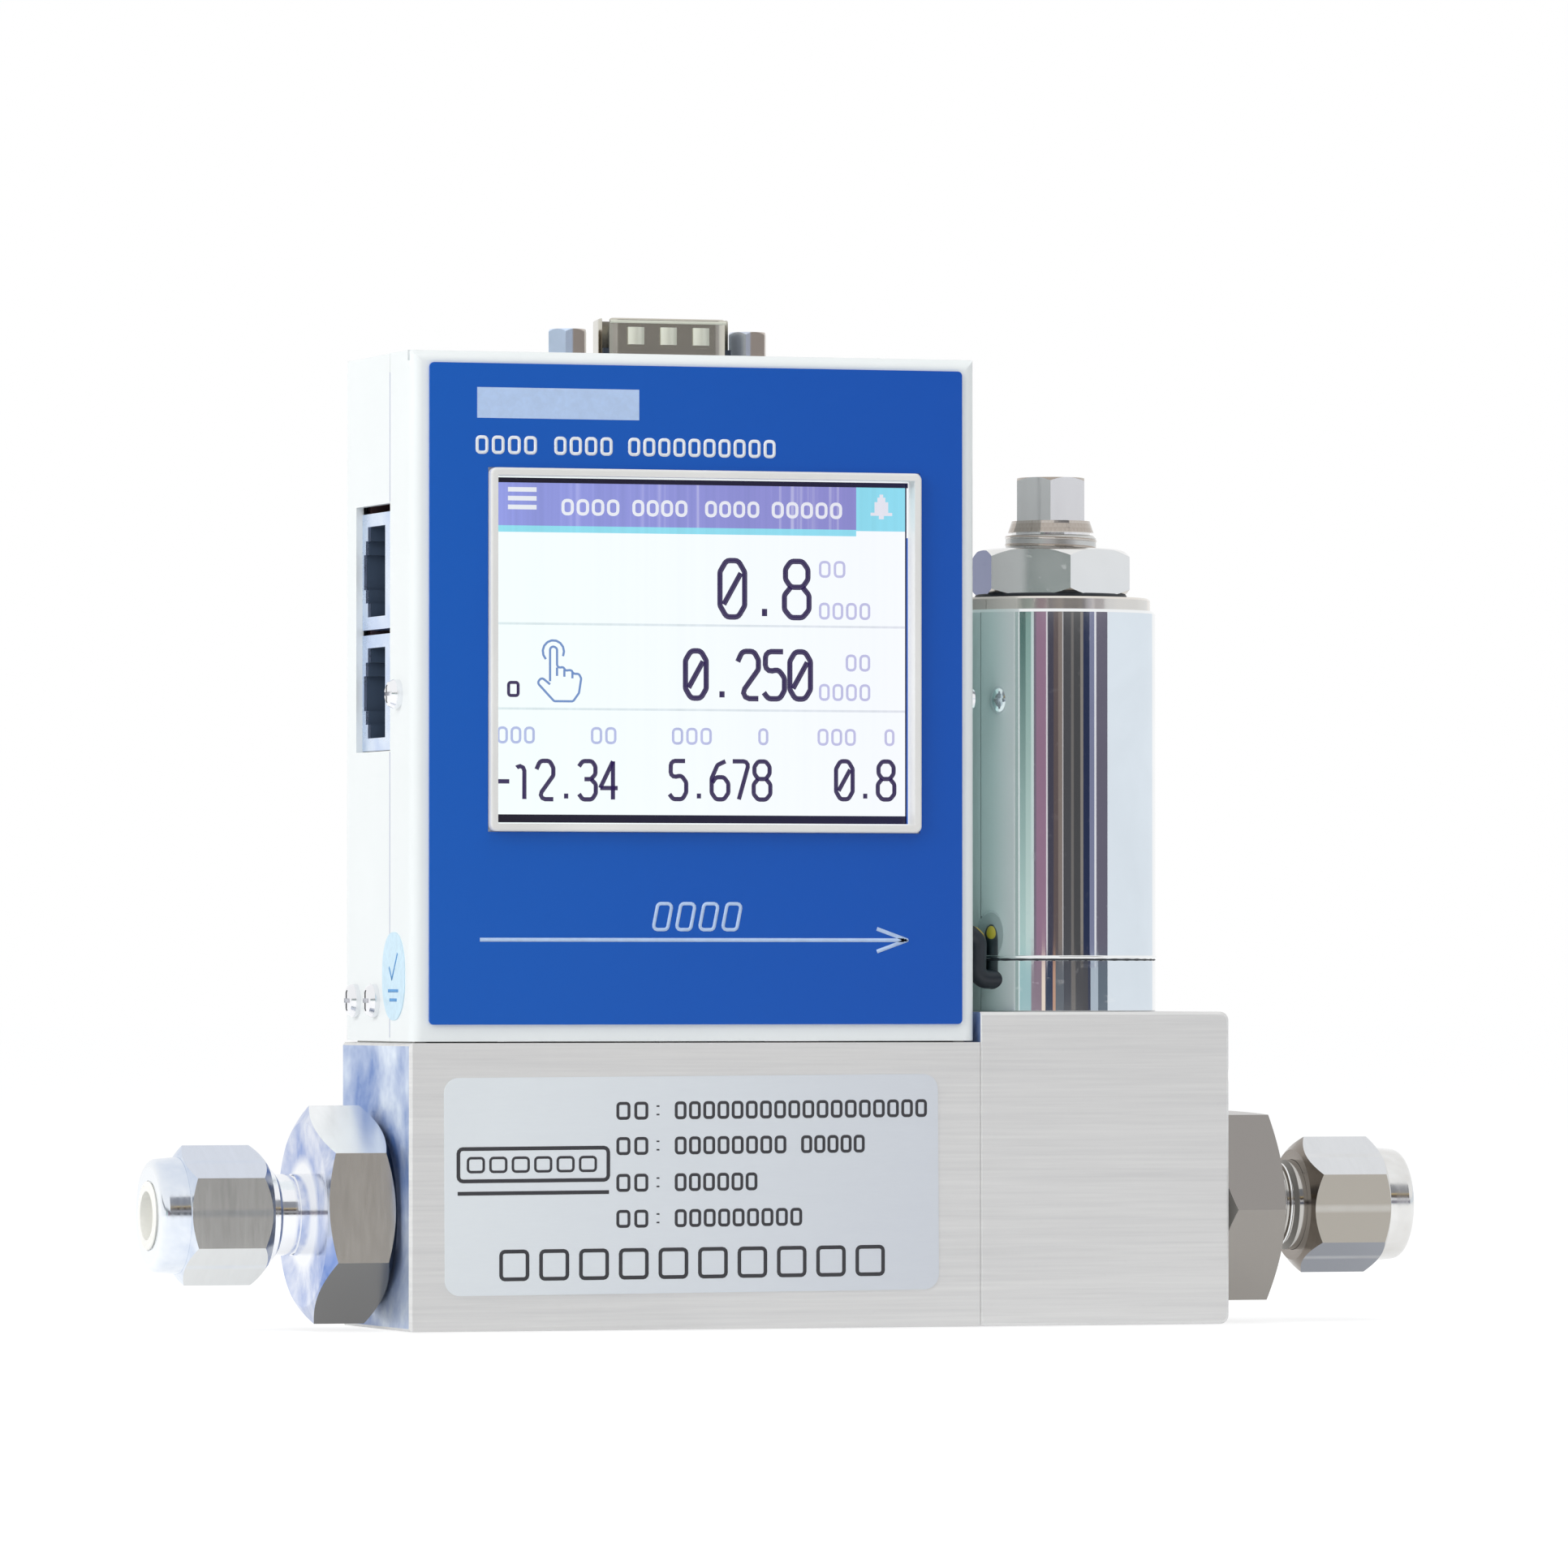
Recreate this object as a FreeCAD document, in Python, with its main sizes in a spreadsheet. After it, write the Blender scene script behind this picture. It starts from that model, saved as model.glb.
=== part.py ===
import FreeCAD, Part
import math
import os

import Sketcher
from FreeCAD import Placement, Rotation, Vector

# Thermal mass flow controller: a two-piece metal flow block with compression fittings,
# a painted sheet housing with a display, and a solenoid control valve.
# Millimetres. X runs with the flow, the display faces -Y, Z is up.
# The origin is the middle of the block's underside.

# Driving sizes, each written once.
SIZES = {
    # flow block
    "block_len": 78.5,
    "block_deep": 32.0,
    "block_high": 37.5,
    "valve_block_len": 35.0,
    "valve_block_high": 41.5,
    "axis_high": 15.0,
    "edge_bevel": 0.4,
    "corner_round": 1.2,
    "seam_bevel": 0.18,
    "outlet_rise": 0.45,
    "thread_clear": 0.05,
    "port_radius": 8.0,
    "port_deep": 11.0,
    "chamber_radius": 6.5,
    "chamber_end": 45.0,
    "bore_radius": 4.0,
    "bore_end": 66.0,
    "link_radius": 2.5,
    "link_high": 30.0,
    "sensor_port_radius": 1.0,
    "sensor_port_in": 24.0,
    "sensor_port_out": 47.0,
    "foot_hole_radius": 1.65,
    "foot_hole_deep": 8.0,
    "foot_hole_spacing": 80.0,
    # screws that join the two blocks
    "join_screw_radius": 2.0,
    "join_screw_side": 12.0,
    "join_screw_high": 33.0,
    "join_head_radius": 3.5,
    "join_head_high": 4.0,
    "join_thread_deep": 10.0,
    "seam_ring_radius": 4.4,
    "seam_ring_wire": 0.8,
    # laminar element in the main bore
    "laminar_len": 18.0,
    "laminar_start": 26.5,
    "laminar_clear": 0.05,
    "laminar_hole_radius": 1.1,
    "laminar_hole_ring": 4.0,
    # compression fittings, measured outward from the block's end face
    "collar_radius": 10.0,
    "collar_len": 0.45,
    "body_hex_across": 24.8,
    "inlet_hex_end": 9.9,
    "outlet_hex_end": 9.3,
    "hex_bevel_outer": 1.2,
    "hex_bevel_inner": 1.5,
    "neck_radius": 5.35,
    "neck_collar_radius": 6.05,
    "neck_collar_len": 1.6,
    "outlet_cone_len": 2.2,
    "inlet_nut_start": 15.6,
    "outlet_nut_start": 14.9,
    "nut_across": 15.85,
    "nut_hex_len": 11.4,
    "nut_bevel": 1.6,
    "nut_bevel_nose": 0.9,
    "nose_len": 3.75,
    "nose_radius": 7.65,
    "nose_round": 1.1,
    "tube_radius": 4.0,
    "tube_clear": 0.1,
    "adapter_in_nut": 7.0,
    "inlet_hex_roll": 5.0,
    "inlet_nut_roll": 3.0,
    "outlet_hex_roll": 31.5,
    "outlet_nut_roll": 3.0,
    "plug_flange": 4.5,
    "plug_recess": 3.2,
    "plug_proud": 0.3,
    "plug_hollow": 6.0,
    # housing of folded sheet
    "shell_inset": 0.25,
    "shell_step": 0.65,
    "shell_deep": 31.5,
    "shell_high": 90.0,
    "shell_lift": 0.2,
    "sheet": 1.0,
    "front_flange": 9.9,
    "seam_gap": 0.12,
    "bend_round": 1.4,
    "overlay_left": 2.4,
    "overlay_right": 2.0,
    "overlay_low": 2.2,
    "overlay_top": 1.65,
    "overlay_thick": 0.4,
    "overlay_round": 0.6,
    # display and its frame
    "bezel_wide": 59.3,
    "bezel_high": 47.4,
    "bezel_rim": 1.0,
    "bezel_proud": 1.5,
    "bezel_behind": 3.4,
    "bezel_step": 0.6,
    "bezel_round": 0.9,
    "bezel_aside": 1.2,
    "bezel_up": 51.05,
    "panel_sink": 2.5,
    "panel_clear": 0.1,
    "display_frame_margin": 0.8,
    "display_frame_thick": 3.4,
    "board_thick": 1.6,
    "display_board_gap": 1.0,
    "display_board_high": 56.0,
    # main board and network jacks on the housing's left side
    "main_board_gap": 1.0,
    "main_board_low": 16.0,
    "main_board_high": 69.0,
    "boss_radius": 2.6,
    "boss_inset": 4.5,
    "jack_cut_low": 38.0,
    "jack_cut_high": 32.4,
    "jack_sink": 0.85,
    "jack_front": -3.2,
    "jack_back": 10.2,
    "jack_wide": 15.3,
    "jack_pitch": 16.0,
    "jack_long": 18.5,
    "jack_low_mid": 45.8,
    "shield_wall": 0.4,
    "plug_half": 5.95,
    "plug_front": -0.6,
    "plug_back": 7.6,
    "plug_deep": 13.0,
    "latch_half_wide": 4.1,
    "latch_half_narrow": 2.3,
    "latch_step": 1.0,
    "contact_pitch": 1.02,
    "contact_wide": 0.46,
    # nine-way connector on top
    "dsub_aside": 0.1,
    "dsub_back": 1.2,
    "dsub_wide": 18.8,
    "dsub_deep": 9.4,
    "dsub_slope": 1.66,
    "dsub_round": 2.4,
    "dsub_proud": 5.4,
    "dsub_wall": 0.5,
    "dsub_flange_wide": 30.8,
    "dsub_flange_deep": 12.5,
    "dsub_clear": 0.25,
    "dsub_recess": 4.0,
    "insulator_deep": 7.0,
    "jackscrew_spacing": 25.0,
    "jackscrew_across": 4.75,
    "jackscrew_high": 4.0,
    "jackscrew_hole": 1.2,
    "jackscrew_stud": 1.4,
    "pin_radius": 0.5,
    "pin_pitch": 2.77,
    "pin_row": 2.84,
    # inner brackets and housing screws
    "bracket_thick": 1.5,
    "bracket_front": -14.0,
    "bracket_waist": -4.4,
    "bracket_back": 13.0,
    "bracket_foot": 13.0,
    "bracket_low_high": 12.5,
    "bracket_top": 54.0,
    "side_screw_y": -10.0,
    "side_screw_up": 45.3,
    "side_head_radius": 1.9,
    "side_head_high": 1.7,
    "base_screw_y_one": 1.0,
    "base_screw_y_two": 10.0,
    "base_screw_up": 5.3,
    "base_screw_over": 0.25,
    "base_head_radius": 2.2,
    "base_head_high": 1.4,
    "screw_shank": 1.25,
    "screw_len": 5.0,
    "join_sink": 0.4,
    "join_clear": 0.2,
    "side_screw_tip": 0.3,
    "screw_clear": 0.15,
    # labels
    "label_left": 4.7,
    "label_low": 4.8,
    "label_wide": 67.8,
    "label_high": 28.35,
    "label_thick": 0.15,
    "label_round": 2.0,
    "label_turn": 0.3,
    "sticker_y": -7.8,
    "sticker_up": 8.5,
    "sticker_wide": 10.3,
    "sticker_high": 11.5,
    "sticker_thick": 0.12,
    # flow sensor
    "sensor_base_wide": 18.0,
    "sensor_base_high": 6.0,
    "sensor_rise": 16.0,
    "sensor_tube_radius": 0.7,
    "sensor_bend": 3.0,
    "winding_radius": 1.7,
    "winding_len": 5.5,
    # control valve
    "valve_aside": 15.5,
    "sleeve_radius": 14.0,
    "sleeve_wall": 1.3,
    "ring_high": 6.9,
    "sleeve_high": 46.6,
    "cap_radius": 13.3,
    "cap_high": 1.7,
    "lock_across": 19.0,
    "lock_gap": 0.1,
    "lock_high": 6.5,
    "lock_bevel": 1.1,
    "lock_turn": 24.3,
    "thread_radius": 6.05,
    "thread_proud": 1.9,
    "stem_collar_radius": 5.35,
    "stem_collar_high": 1.9,
    "stem_across": 9.0,
    "stem_high": 5.8,
    "stem_turn": 10.1,
    "valve_well_radius": 8.0,
    "valve_well_floor": 24.0,
    "spigot_len": 4.5,
    "core_outer": 5.0,
    "core_inner": 4.0,
    "core_collar": 6.6,
    "plunger_radius": 3.7,
    "plunger_len": 39.5,
    "seat_high": 6.0,
    "seat_gap": 0.05,
    "orifice_radius": 0.6,
    "spring_radius": 2.1,
    "spring_wire": 0.3,
    "spring_turns": 4.0,
    "spring_pocket": 6.0,
    "pole_gap": 2.5,
    "bobbin_wall": 1.0,
    "bobbin_flange": 1.5,
    "bobbin_clear": 0.15,
    "winding_clear": 0.4,
    # lead from the housing to the valve coil
    "lead_radius": 1.25,
    "lead_top_up": 14.1,
    "lead_low_up": 4.3,
    "lead_bend": 1.5,
    "lead_in_shell": 5.0,
    "lead_in_ring": 2.3,
    "grommet_radius": 2.4,
    "grommet_lip": 0.8,
}

doc = FreeCAD.newDocument("FlowController")
sheet = doc.addObject("Spreadsheet::Sheet", "Sizes")
for row, (alias, number) in enumerate(SIZES.items(), 1):
    sheet.set(f"A{row}", alias)
    sheet.set(f"B{row}", str(number))
    sheet.setAlias(f"B{row}", alias)
doc.recompute()


class Size:
    """A length with the sheet expression that it comes from."""

    def __init__(self, value, text):
        self.value = value
        self.text = text

    def __add__(self, other):
        other = as_size(other)
        return Size(self.value + other.value, f"({self.text} + {other.text})")

    def __sub__(self, other):
        other = as_size(other)
        return Size(self.value - other.value, f"({self.text} - {other.text})")

    def __mul__(self, other):
        other = as_size(other)
        return Size(self.value * other.value, f"({self.text} * {other.text})")

    def __truediv__(self, other):
        other = as_size(other)
        return Size(self.value / other.value, f"({self.text} / {other.text})")

    def __radd__(self, other):
        return as_size(other) + self

    def __rsub__(self, other):
        return as_size(other) - self

    def __rmul__(self, other):
        return as_size(other) * self

    def __neg__(self):
        return Size(-self.value, f"(0 - {self.text})")


def as_size(number):
    if isinstance(number, Size):
        return number
    return Size(float(number), f"{float(number):.6f}" if number >= 0 else f"(0 - {-float(number):.6f})")


class Names:
    """Gives each driving size by its name."""

    def __getattr__(self, name):
        return Size(SIZES[name], f"Sizes.{name}")


S = Names()


def bind(item, name, number):
    item.setExpression(name, as_size(number).text)


def new_body(label, x=0, y=0, z=0, turn=None):
    """Starts a sub-part; turn is a Rotation."""
    body = doc.addObject("PartDesign::Body", label)
    body.Label = label
    spot = [as_size(n) for n in (x, y, z)]
    base = Vector(*[n.value for n in spot])
    body.Placement = Placement(base, turn or Rotation())
    for axis, number in zip("xyz", spot):
        bind(body, f"Placement.Base.{axis}", number)
    return body


def sketch_on(body, plane, offset=0):
    """A sketch on one of the body's own origin planes, moved along the plane's normal."""
    sketch = body.newObject("Sketcher::SketchObject", f"{body.Name}_sketch")
    origin = next(f for f in body.Origin.OriginFeatures if f.Role == f"{plane}_Plane")
    sketch.AttachmentSupport = [(origin, "")]
    sketch.MapMode = "FlatFace"
    bind(sketch, "AttachmentOffset.Base.z", offset)
    return sketch


def locate(sketch, geometry, point, x, y):
    """Dimensions one point of the sketch from the sketch's origin."""
    for axis, kind, number in ((-2, "DistanceX", x), (-1, "DistanceY", y)):
        number = as_size(number)
        if abs(number.value) < 1e-9:
            sketch.addConstraint(Sketcher.Constraint("PointOnObject", geometry, point, axis))
            continue
        index = sketch.addConstraint(Sketcher.Constraint(kind, -1, 1, geometry, point, number.value))
        bind(sketch, f"Constraints[{index}]", number)


def draw_polygon(sketch, points):
    first = sketch.GeometryCount
    spots = [(as_size(x), as_size(y)) for x, y in points]
    corners = [Vector(x.value, y.value, 0) for x, y in spots]
    count = len(corners)
    for i in range(count):
        sketch.addGeometry(Part.LineSegment(corners[i], corners[(i + 1) % count]), False)
    for i in range(count):
        sketch.addConstraint(Sketcher.Constraint("Coincident", first + i, 2, first + (i + 1) % count, 1))
    for i, (x, y) in enumerate(spots):
        locate(sketch, first + i, 1, x, y)


def draw_circle(sketch, x, y, radius):
    x, y, radius = as_size(x), as_size(y), as_size(radius)
    index = sketch.addGeometry(Part.Circle(Vector(x.value, y.value, 0), Vector(0, 0, 1), radius.value), False)
    locate(sketch, index, 3, x, y)
    size = sketch.addConstraint(Sketcher.Constraint("Radius", index, radius.value))
    bind(sketch, f"Constraints[{size}]", radius)


def draw(sketch, shapes):
    for shape in shapes:
        if shape[0] == "circle":
            draw_circle(sketch, *shape[1:])
        else:
            draw_polygon(sketch, shape[1])


def rect(x0, y0, x1, y1):
    return ("polygon", [(x0, y0), (x1, y0), (x1, y1), (x0, y1)])


def hexagon(across, turn):
    """A hexagon round the sketch's origin; turn is the first corner's angle in degrees."""
    points = []
    for k in range(6):
        angle = math.radians(turn + 60 * k)
        reach = across * (0.5 / math.cos(math.radians(30)))
        points.append((reach * math.cos(angle), reach * math.sin(angle)))
    return ("polygon", points)


def prism(body, kind, plane, shapes, low, high):
    low, high = as_size(low), as_size(high)
    sketch = sketch_on(body, plane, -high if plane == "XZ" else low)
    draw(sketch, shapes)
    feature = body.newObject(f"PartDesign::{kind}", f"{body.Name}_{kind.lower()}")
    feature.Profile = sketch
    bind(feature, "Length", high - low)
    return feature


def add(body, plane, shapes, low, high):
    """Adds outlines of the plane as a solid between two positions on its normal's axis."""
    return prism(body, "Pad", plane, shapes, low, high)


def cut(body, plane, shapes, low, high):
    """Cuts outlines of the plane away between two positions on its normal's axis."""
    before = volume(body)
    feature = prism(body, "Pocket", plane, shapes, low, high)
    feature.Reversed = True
    check_cut(body, before)
    return feature


def volume(body):
    doc.recompute()
    return body.Shape.Volume


def check_cut(body, before):
    if volume(body) > before - 1e-4:
        raise RuntimeError(f"a cut of {body.Label} removed nothing")


def turned(body, axis, points, kind="Revolution"):
    """Turns a closed profile of (along, radius) points round the body's X or Z axis."""
    before = volume(body) if kind == "Groove" else 0
    sketch = sketch_on(body, "XZ")
    spots = points if axis == "X" else [(radius, along) for along, radius in points]
    draw_polygon(sketch, spots)
    feature = body.newObject(f"PartDesign::{kind}", f"{body.Name}_{kind.lower()}")
    feature.Profile = sketch
    feature.ReferenceAxis = (sketch, ["H_Axis" if axis == "X" else "V_Axis"])
    feature.Angle = 360
    if kind == "Groove":
        check_cut(body, before)
    return feature


def finish(body, kind, amount, test):
    """Rounds or bevels the edges of the body that pass the test."""
    doc.recompute()
    tip = body.Tip
    names = [f"Edge{i}" for i, edge in enumerate(tip.Shape.Edges, 1) if test(edge)]
    if not names:
        raise RuntimeError(f"no edges found on {body.Label}")
    feature = body.newObject(f"PartDesign::{kind}", f"{body.Name}_{kind.lower()}")
    feature.Base = (tip, names)
    bind(feature, "Radius" if kind == "Fillet" else "Size", amount)
    doc.recompute()
    return feature


def near(value, target):
    return abs(value - as_size(target).value) < 1e-3


def span(edge):
    box = edge.BoundBox
    return box.XLength, box.YLength, box.ZLength


def upright(edge):
    """A straight edge along Z."""
    dx, dy, dz = span(edge)
    return dx < 1e-3 and dy < 1e-3 and dz > 1e-3


def crossing(edge):
    """A straight edge along Y."""
    dx, dy, dz = span(edge)
    return dx < 1e-3 and dz < 1e-3 and dy > 1e-3


# Positions that several pieces share.
x_left = -(S.block_len + S.valve_block_len) / 2
x_seam = x_left + S.block_len
x_right = x_seam + S.valve_block_len
valve_x = x_seam + S.valve_aside
half_deep = S.block_deep / 2
outlet_z = S.axis_high + S.outlet_rise
shell_x0 = x_left + S.shell_inset
shell_x1 = x_seam - S.shell_step
shell_wide = shell_x1 - shell_x0
shell_mid = (shell_x0 + shell_x1) / 2
shell_y0 = -S.shell_deep / 2
shell_y1 = S.shell_deep / 2
shell_z0 = S.block_high + S.shell_lift
shell_z1 = shell_z0 + S.shell_high
split_y = shell_y0 + S.front_flange
rear_y0 = split_y + S.seam_gap
lead_y = split_y - S.grommet_radius
bezel_x = shell_mid + S.bezel_aside
bezel_z = shell_z0 + S.bezel_up
dsub_x = shell_mid + S.dsub_aside
port_wall = S.port_radius
stud_radius = S.port_radius - S.thread_clear
laminar_x = x_left + S.laminar_start
join_hole = S.join_screw_radius + S.thread_clear
screw_hole = S.screw_shank + S.screw_clear
tapped_hole = S.screw_shank + S.thread_clear

# Flow block: a bar drilled from both ends, with the flow path stepping down in size.
block = new_body("flow_body_bar")
add(block, "XY", [rect(x_left, -half_deep, x_seam, half_deep)], 0, S.block_high)
cut(block, "YZ", [("circle", 0, S.axis_high, S.port_radius)], x_left - 1, x_left + S.port_deep + 2)
cut(block, "YZ", [("circle", 0, S.axis_high, S.chamber_radius)], x_left + 5, x_left + S.chamber_end)
cut(block, "YZ", [("circle", 0, S.axis_high, S.bore_radius)], x_left + S.chamber_end - 1, x_left + S.bore_end)
for port_x in (x_left + S.sensor_port_in, x_left + S.sensor_port_out):
    cut(block, "XY", [("circle", port_x, 0, S.sensor_port_radius)], S.axis_high, S.block_high + 1)
cut(block, "XY", [("circle", -S.foot_hole_spacing / 2, 0, S.foot_hole_radius)], -1, S.foot_hole_deep)
for side in (-1, 1):
    cut(block, "YZ", [("circle", side * S.join_screw_side, S.join_screw_high, join_hole)],
        x_seam - S.join_thread_deep, x_seam + 1)
finish(block, "Chamfer", S.edge_bevel, lambda e: upright(e) and near(e.BoundBox.XMin, x_left)
       or crossing(e) and near(e.BoundBox.XMin, x_left))
finish(block, "Chamfer", S.seam_bevel, lambda e: upright(e) and near(e.BoundBox.XMin, x_seam))

# The link passage is drilled at a slant from the seam face down to the bore's end.
link_top = Vector(x_seam.value + 1, 0, S.link_high.value)
link_low = Vector((x_left + S.bore_end).value - 3, 0, S.axis_high.value)
link_drill = doc.addObject("Part::Cylinder", "link_drill")
bind(link_drill, "Radius", S.link_radius)
link_drill.Height = (link_top - link_low).Length
link_drill.Placement = Placement(link_low, Rotation(Vector(0, 0, 1), link_top - link_low))
flow_body = doc.addObject("Part::Cut", "flow_body")
flow_body.Label = "flow_body"
flow_body.Base = block
flow_body.Tool = link_drill

# Valve block: carries the valve well, the seat and the outlet port.
valve_block = new_body("valve_body")
add(valve_block, "XY", [rect(x_seam, -half_deep, x_right, half_deep)], 0, S.valve_block_high)
finish(valve_block, "Fillet", S.corner_round, lambda e: crossing(e) and near(e.BoundBox.XMin, x_right))
finish(valve_block, "Chamfer", S.edge_bevel, lambda e: upright(e) and near(e.BoundBox.XMin, x_right))
finish(valve_block, "Chamfer", S.seam_bevel, lambda e: upright(e) and near(e.BoundBox.XMin, x_seam))
cut(valve_block, "XY", [("circle", valve_x, 0, S.valve_well_radius)], S.valve_well_floor,
    S.valve_block_high + 1)
cut(valve_block, "XY", [("circle", valve_x, 0, S.orifice_radius * 3)], outlet_z, S.valve_well_floor + 1)
cut(valve_block, "YZ", [("circle", 0, outlet_z, S.bore_radius)], valve_x - 3, x_right)
cut(valve_block, "YZ", [("circle", 0, outlet_z, S.port_radius)], x_right - S.port_deep, x_right + 1)
cut(valve_block, "YZ", [("circle", 0, S.link_high, S.link_radius)], x_seam - 1,
    valve_x - S.valve_well_radius + 1)
ring_out = S.seam_ring_radius + S.seam_ring_wire + 0.05
ring_in = S.seam_ring_radius - S.seam_ring_wire - 0.05
cut(valve_block, "YZ", [("circle", 0, S.link_high, ring_out), ("circle", 0, S.link_high, ring_in)],
    x_seam - 1, x_seam + S.seam_ring_wire * 2)
cut(valve_block, "XY", [("circle", S.foot_hole_spacing / 2, 0, S.foot_hole_radius)], -1, S.foot_hole_deep)
for side in (-1, 1):
    cut(valve_block, "YZ",
        [("circle", side * S.join_screw_side, S.join_screw_high, join_hole + S.join_clear)],
        x_seam - 1, x_right + 1)
    cut(valve_block, "YZ",
        [("circle", side * S.join_screw_side, S.join_screw_high, S.join_head_radius + S.join_clear)],
        x_right - S.join_head_high - S.join_sink, x_right + 1)

# Ring seal round the link passage, between the two blocks.
seam_ring = doc.addObject("Part::Torus", "seam_oring")
seam_ring.Label = "seam_oring"
bind(seam_ring, "Radius1", S.seam_ring_radius)
bind(seam_ring, "Radius2", S.seam_ring_wire)
seam_ring.Placement = Placement(Vector(0, 0, 0), Rotation(Vector(0, 1, 0), 90))
bind(seam_ring, "Placement.Base.x", x_seam + S.seam_ring_wire)
bind(seam_ring, "Placement.Base.z", S.link_high)

# Socket screws that pull the valve block against the flow block.
for side, label in ((-1, "join_screw_front"), (1, "join_screw_rear")):
    screw = new_body(label, x_right - S.join_sink, side * S.join_screw_side, S.join_screw_high)
    reach = S.valve_block_len - S.join_sink + S.join_thread_deep - 1
    turned(screw, "X", [
        (0, 0), (0, S.join_head_radius - 0.3), (-0.3, S.join_head_radius),
        (-S.join_head_high, S.join_head_radius), (-S.join_head_high, S.join_screw_radius),
        (-reach, S.join_screw_radius), (-reach, 0),
    ])
    cut(screw, "YZ", [hexagon(S.join_screw_radius * 1.6, 0)], -S.join_head_high * 0.6, 1)

# Laminar element: a plug of parallel passages that splits the flow.
laminar = new_body("laminar_element", laminar_x, 0, S.axis_high)
laminar_r = S.chamber_radius - S.laminar_clear
turned(laminar, "X", [(0, 0), (0, laminar_r - 0.5), (0.5, laminar_r), (S.laminar_len - 0.5, laminar_r),
                      (S.laminar_len, laminar_r - 0.5), (S.laminar_len, 0)])
passage = cut(laminar, "YZ", [("circle", 0, S.laminar_hole_ring, S.laminar_hole_radius)],
              -1, S.laminar_len + 1)
spread = laminar.newObject("PartDesign::PolarPattern", "laminar_pattern")
spread.Originals = [passage]
spread.Axis = (next(f for f in laminar.Origin.OriginFeatures if f.Role == "X_Axis"), [""])
spread.Angle = 360
spread.Occurrences = 6
laminar.Tip = spread
doc.recompute()


def fitting(side, face_x, axis_z, facing, hex_end, nut_start, hex_roll, nut_roll, coned):
    """A compression fitting: adapter, ferrule and nut, drawn outward from the block's end face."""
    socket = S.tube_radius + S.tube_clear
    mouth = nut_start + S.adapter_in_nut
    blank = S.body_hex_across * 0.5774 + 0.05
    base = S.collar_len
    inner = S.body_hex_across / 2 - 0.6
    outline = [
        (-S.port_deep + 0.5, S.link_radius), (-S.port_deep + 0.5, stud_radius - 0.8),
        (-S.port_deep + 1.3, stud_radius), (0, stud_radius), (0, S.collar_radius), (base, S.collar_radius),
        (base, inner), (base + S.hex_bevel_inner, blank),
    ]
    if coned:
        outline += [(hex_end - 0.6, blank), (hex_end, S.body_hex_across / 2),
                    (hex_end + S.outlet_cone_len, S.neck_collar_radius + 0.8),
                    (hex_end + S.outlet_cone_len, S.neck_radius)]
    else:
        outline += [(hex_end - S.hex_bevel_outer, blank), (hex_end, S.body_hex_across / 2 - 0.3),
                    (hex_end, S.neck_radius)]
        groove = hex_end + 1.6
        outline += [(groove, S.neck_radius), (groove, S.neck_radius - 0.25),
                    (groove + 0.5, S.neck_radius - 0.25), (groove + 0.5, S.neck_radius)]
    outline += [
        (nut_start - S.neck_collar_len, S.neck_radius), (nut_start - S.neck_collar_len + 0.5,
                                                         S.neck_collar_radius),
        (mouth - 0.4, S.neck_collar_radius), (mouth, S.neck_collar_radius - 0.4), (mouth, socket + 1.2),
        (mouth - 2.4, socket), (mouth - 8, socket), (mouth - 8, S.link_radius),
    ]
    spin = Rotation(Vector(0, 0, 1), facing)
    adapter = new_body(f"{side}_adapter", face_x, 0, axis_z, spin)
    turned(adapter, "X", outline)
    cut(adapter, "YZ", [("circle", 0, 0, blank + 3), hexagon(S.body_hex_across, 30 + hex_roll)],
        base, hex_end + 0.001)

    ferrule = new_body(f"{side}_ferrule", face_x, 0, axis_z, spin)
    turned(ferrule, "X", [
        (mouth - 1.6, socket + 0.02), (mouth - 1.6, socket + 0.3), (mouth - 0.1, socket + 1.05),
        (mouth + 0.5, socket + 1.4), (mouth + 2.0, socket + 1.4), (mouth + 3.5, socket + 0.45),
        (mouth + 3.5, socket + 0.02),
    ])

    nut = new_body(f"{side}_nut", face_x, 0, axis_z, spin)
    hex_out = nut_start + S.nut_hex_len
    end = hex_out + S.nose_len
    bore = S.neck_collar_radius + S.thread_clear
    blank = S.nut_across * 0.5774 + 0.05
    flat = S.nut_across / 2
    turned(nut, "X", [
        (nut_start, bore), (nut_start, flat - 0.5), (nut_start + S.nut_bevel, blank),
        (hex_out - S.nut_bevel_nose, blank), (hex_out, flat - 0.15), (hex_out, S.nose_radius),
        (end, S.nose_radius - 0.3), (end, socket + 0.5), (end - 0.5, socket + 0.05),
        (mouth + 4.0, socket + 0.05), (mouth + 3.9, socket + 0.65), (mouth + 2.2, socket + 1.6),
        (mouth + 1.6, socket + 1.6), (mouth + 1.6, bore),
    ])
    cut(nut, "YZ", [("circle", 0, 0, blank + 3), hexagon(S.nut_across, 30 + nut_roll)], nut_start, hex_out)
    tip_edge = S.nose_radius - 0.3
    finish(nut, "Fillet", S.nose_round, lambda e: near(e.BoundBox.XMin, end)
           and near(e.BoundBox.YLength, tip_edge * 2) and near(e.BoundBox.XLength, 0))
    return mouth, end, socket


mouth, nose_end, socket = fitting("inlet", x_left, S.axis_high, 180, S.inlet_hex_end, S.inlet_nut_start,
                                  S.inlet_hex_roll.value, S.inlet_nut_roll.value, False)

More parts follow.
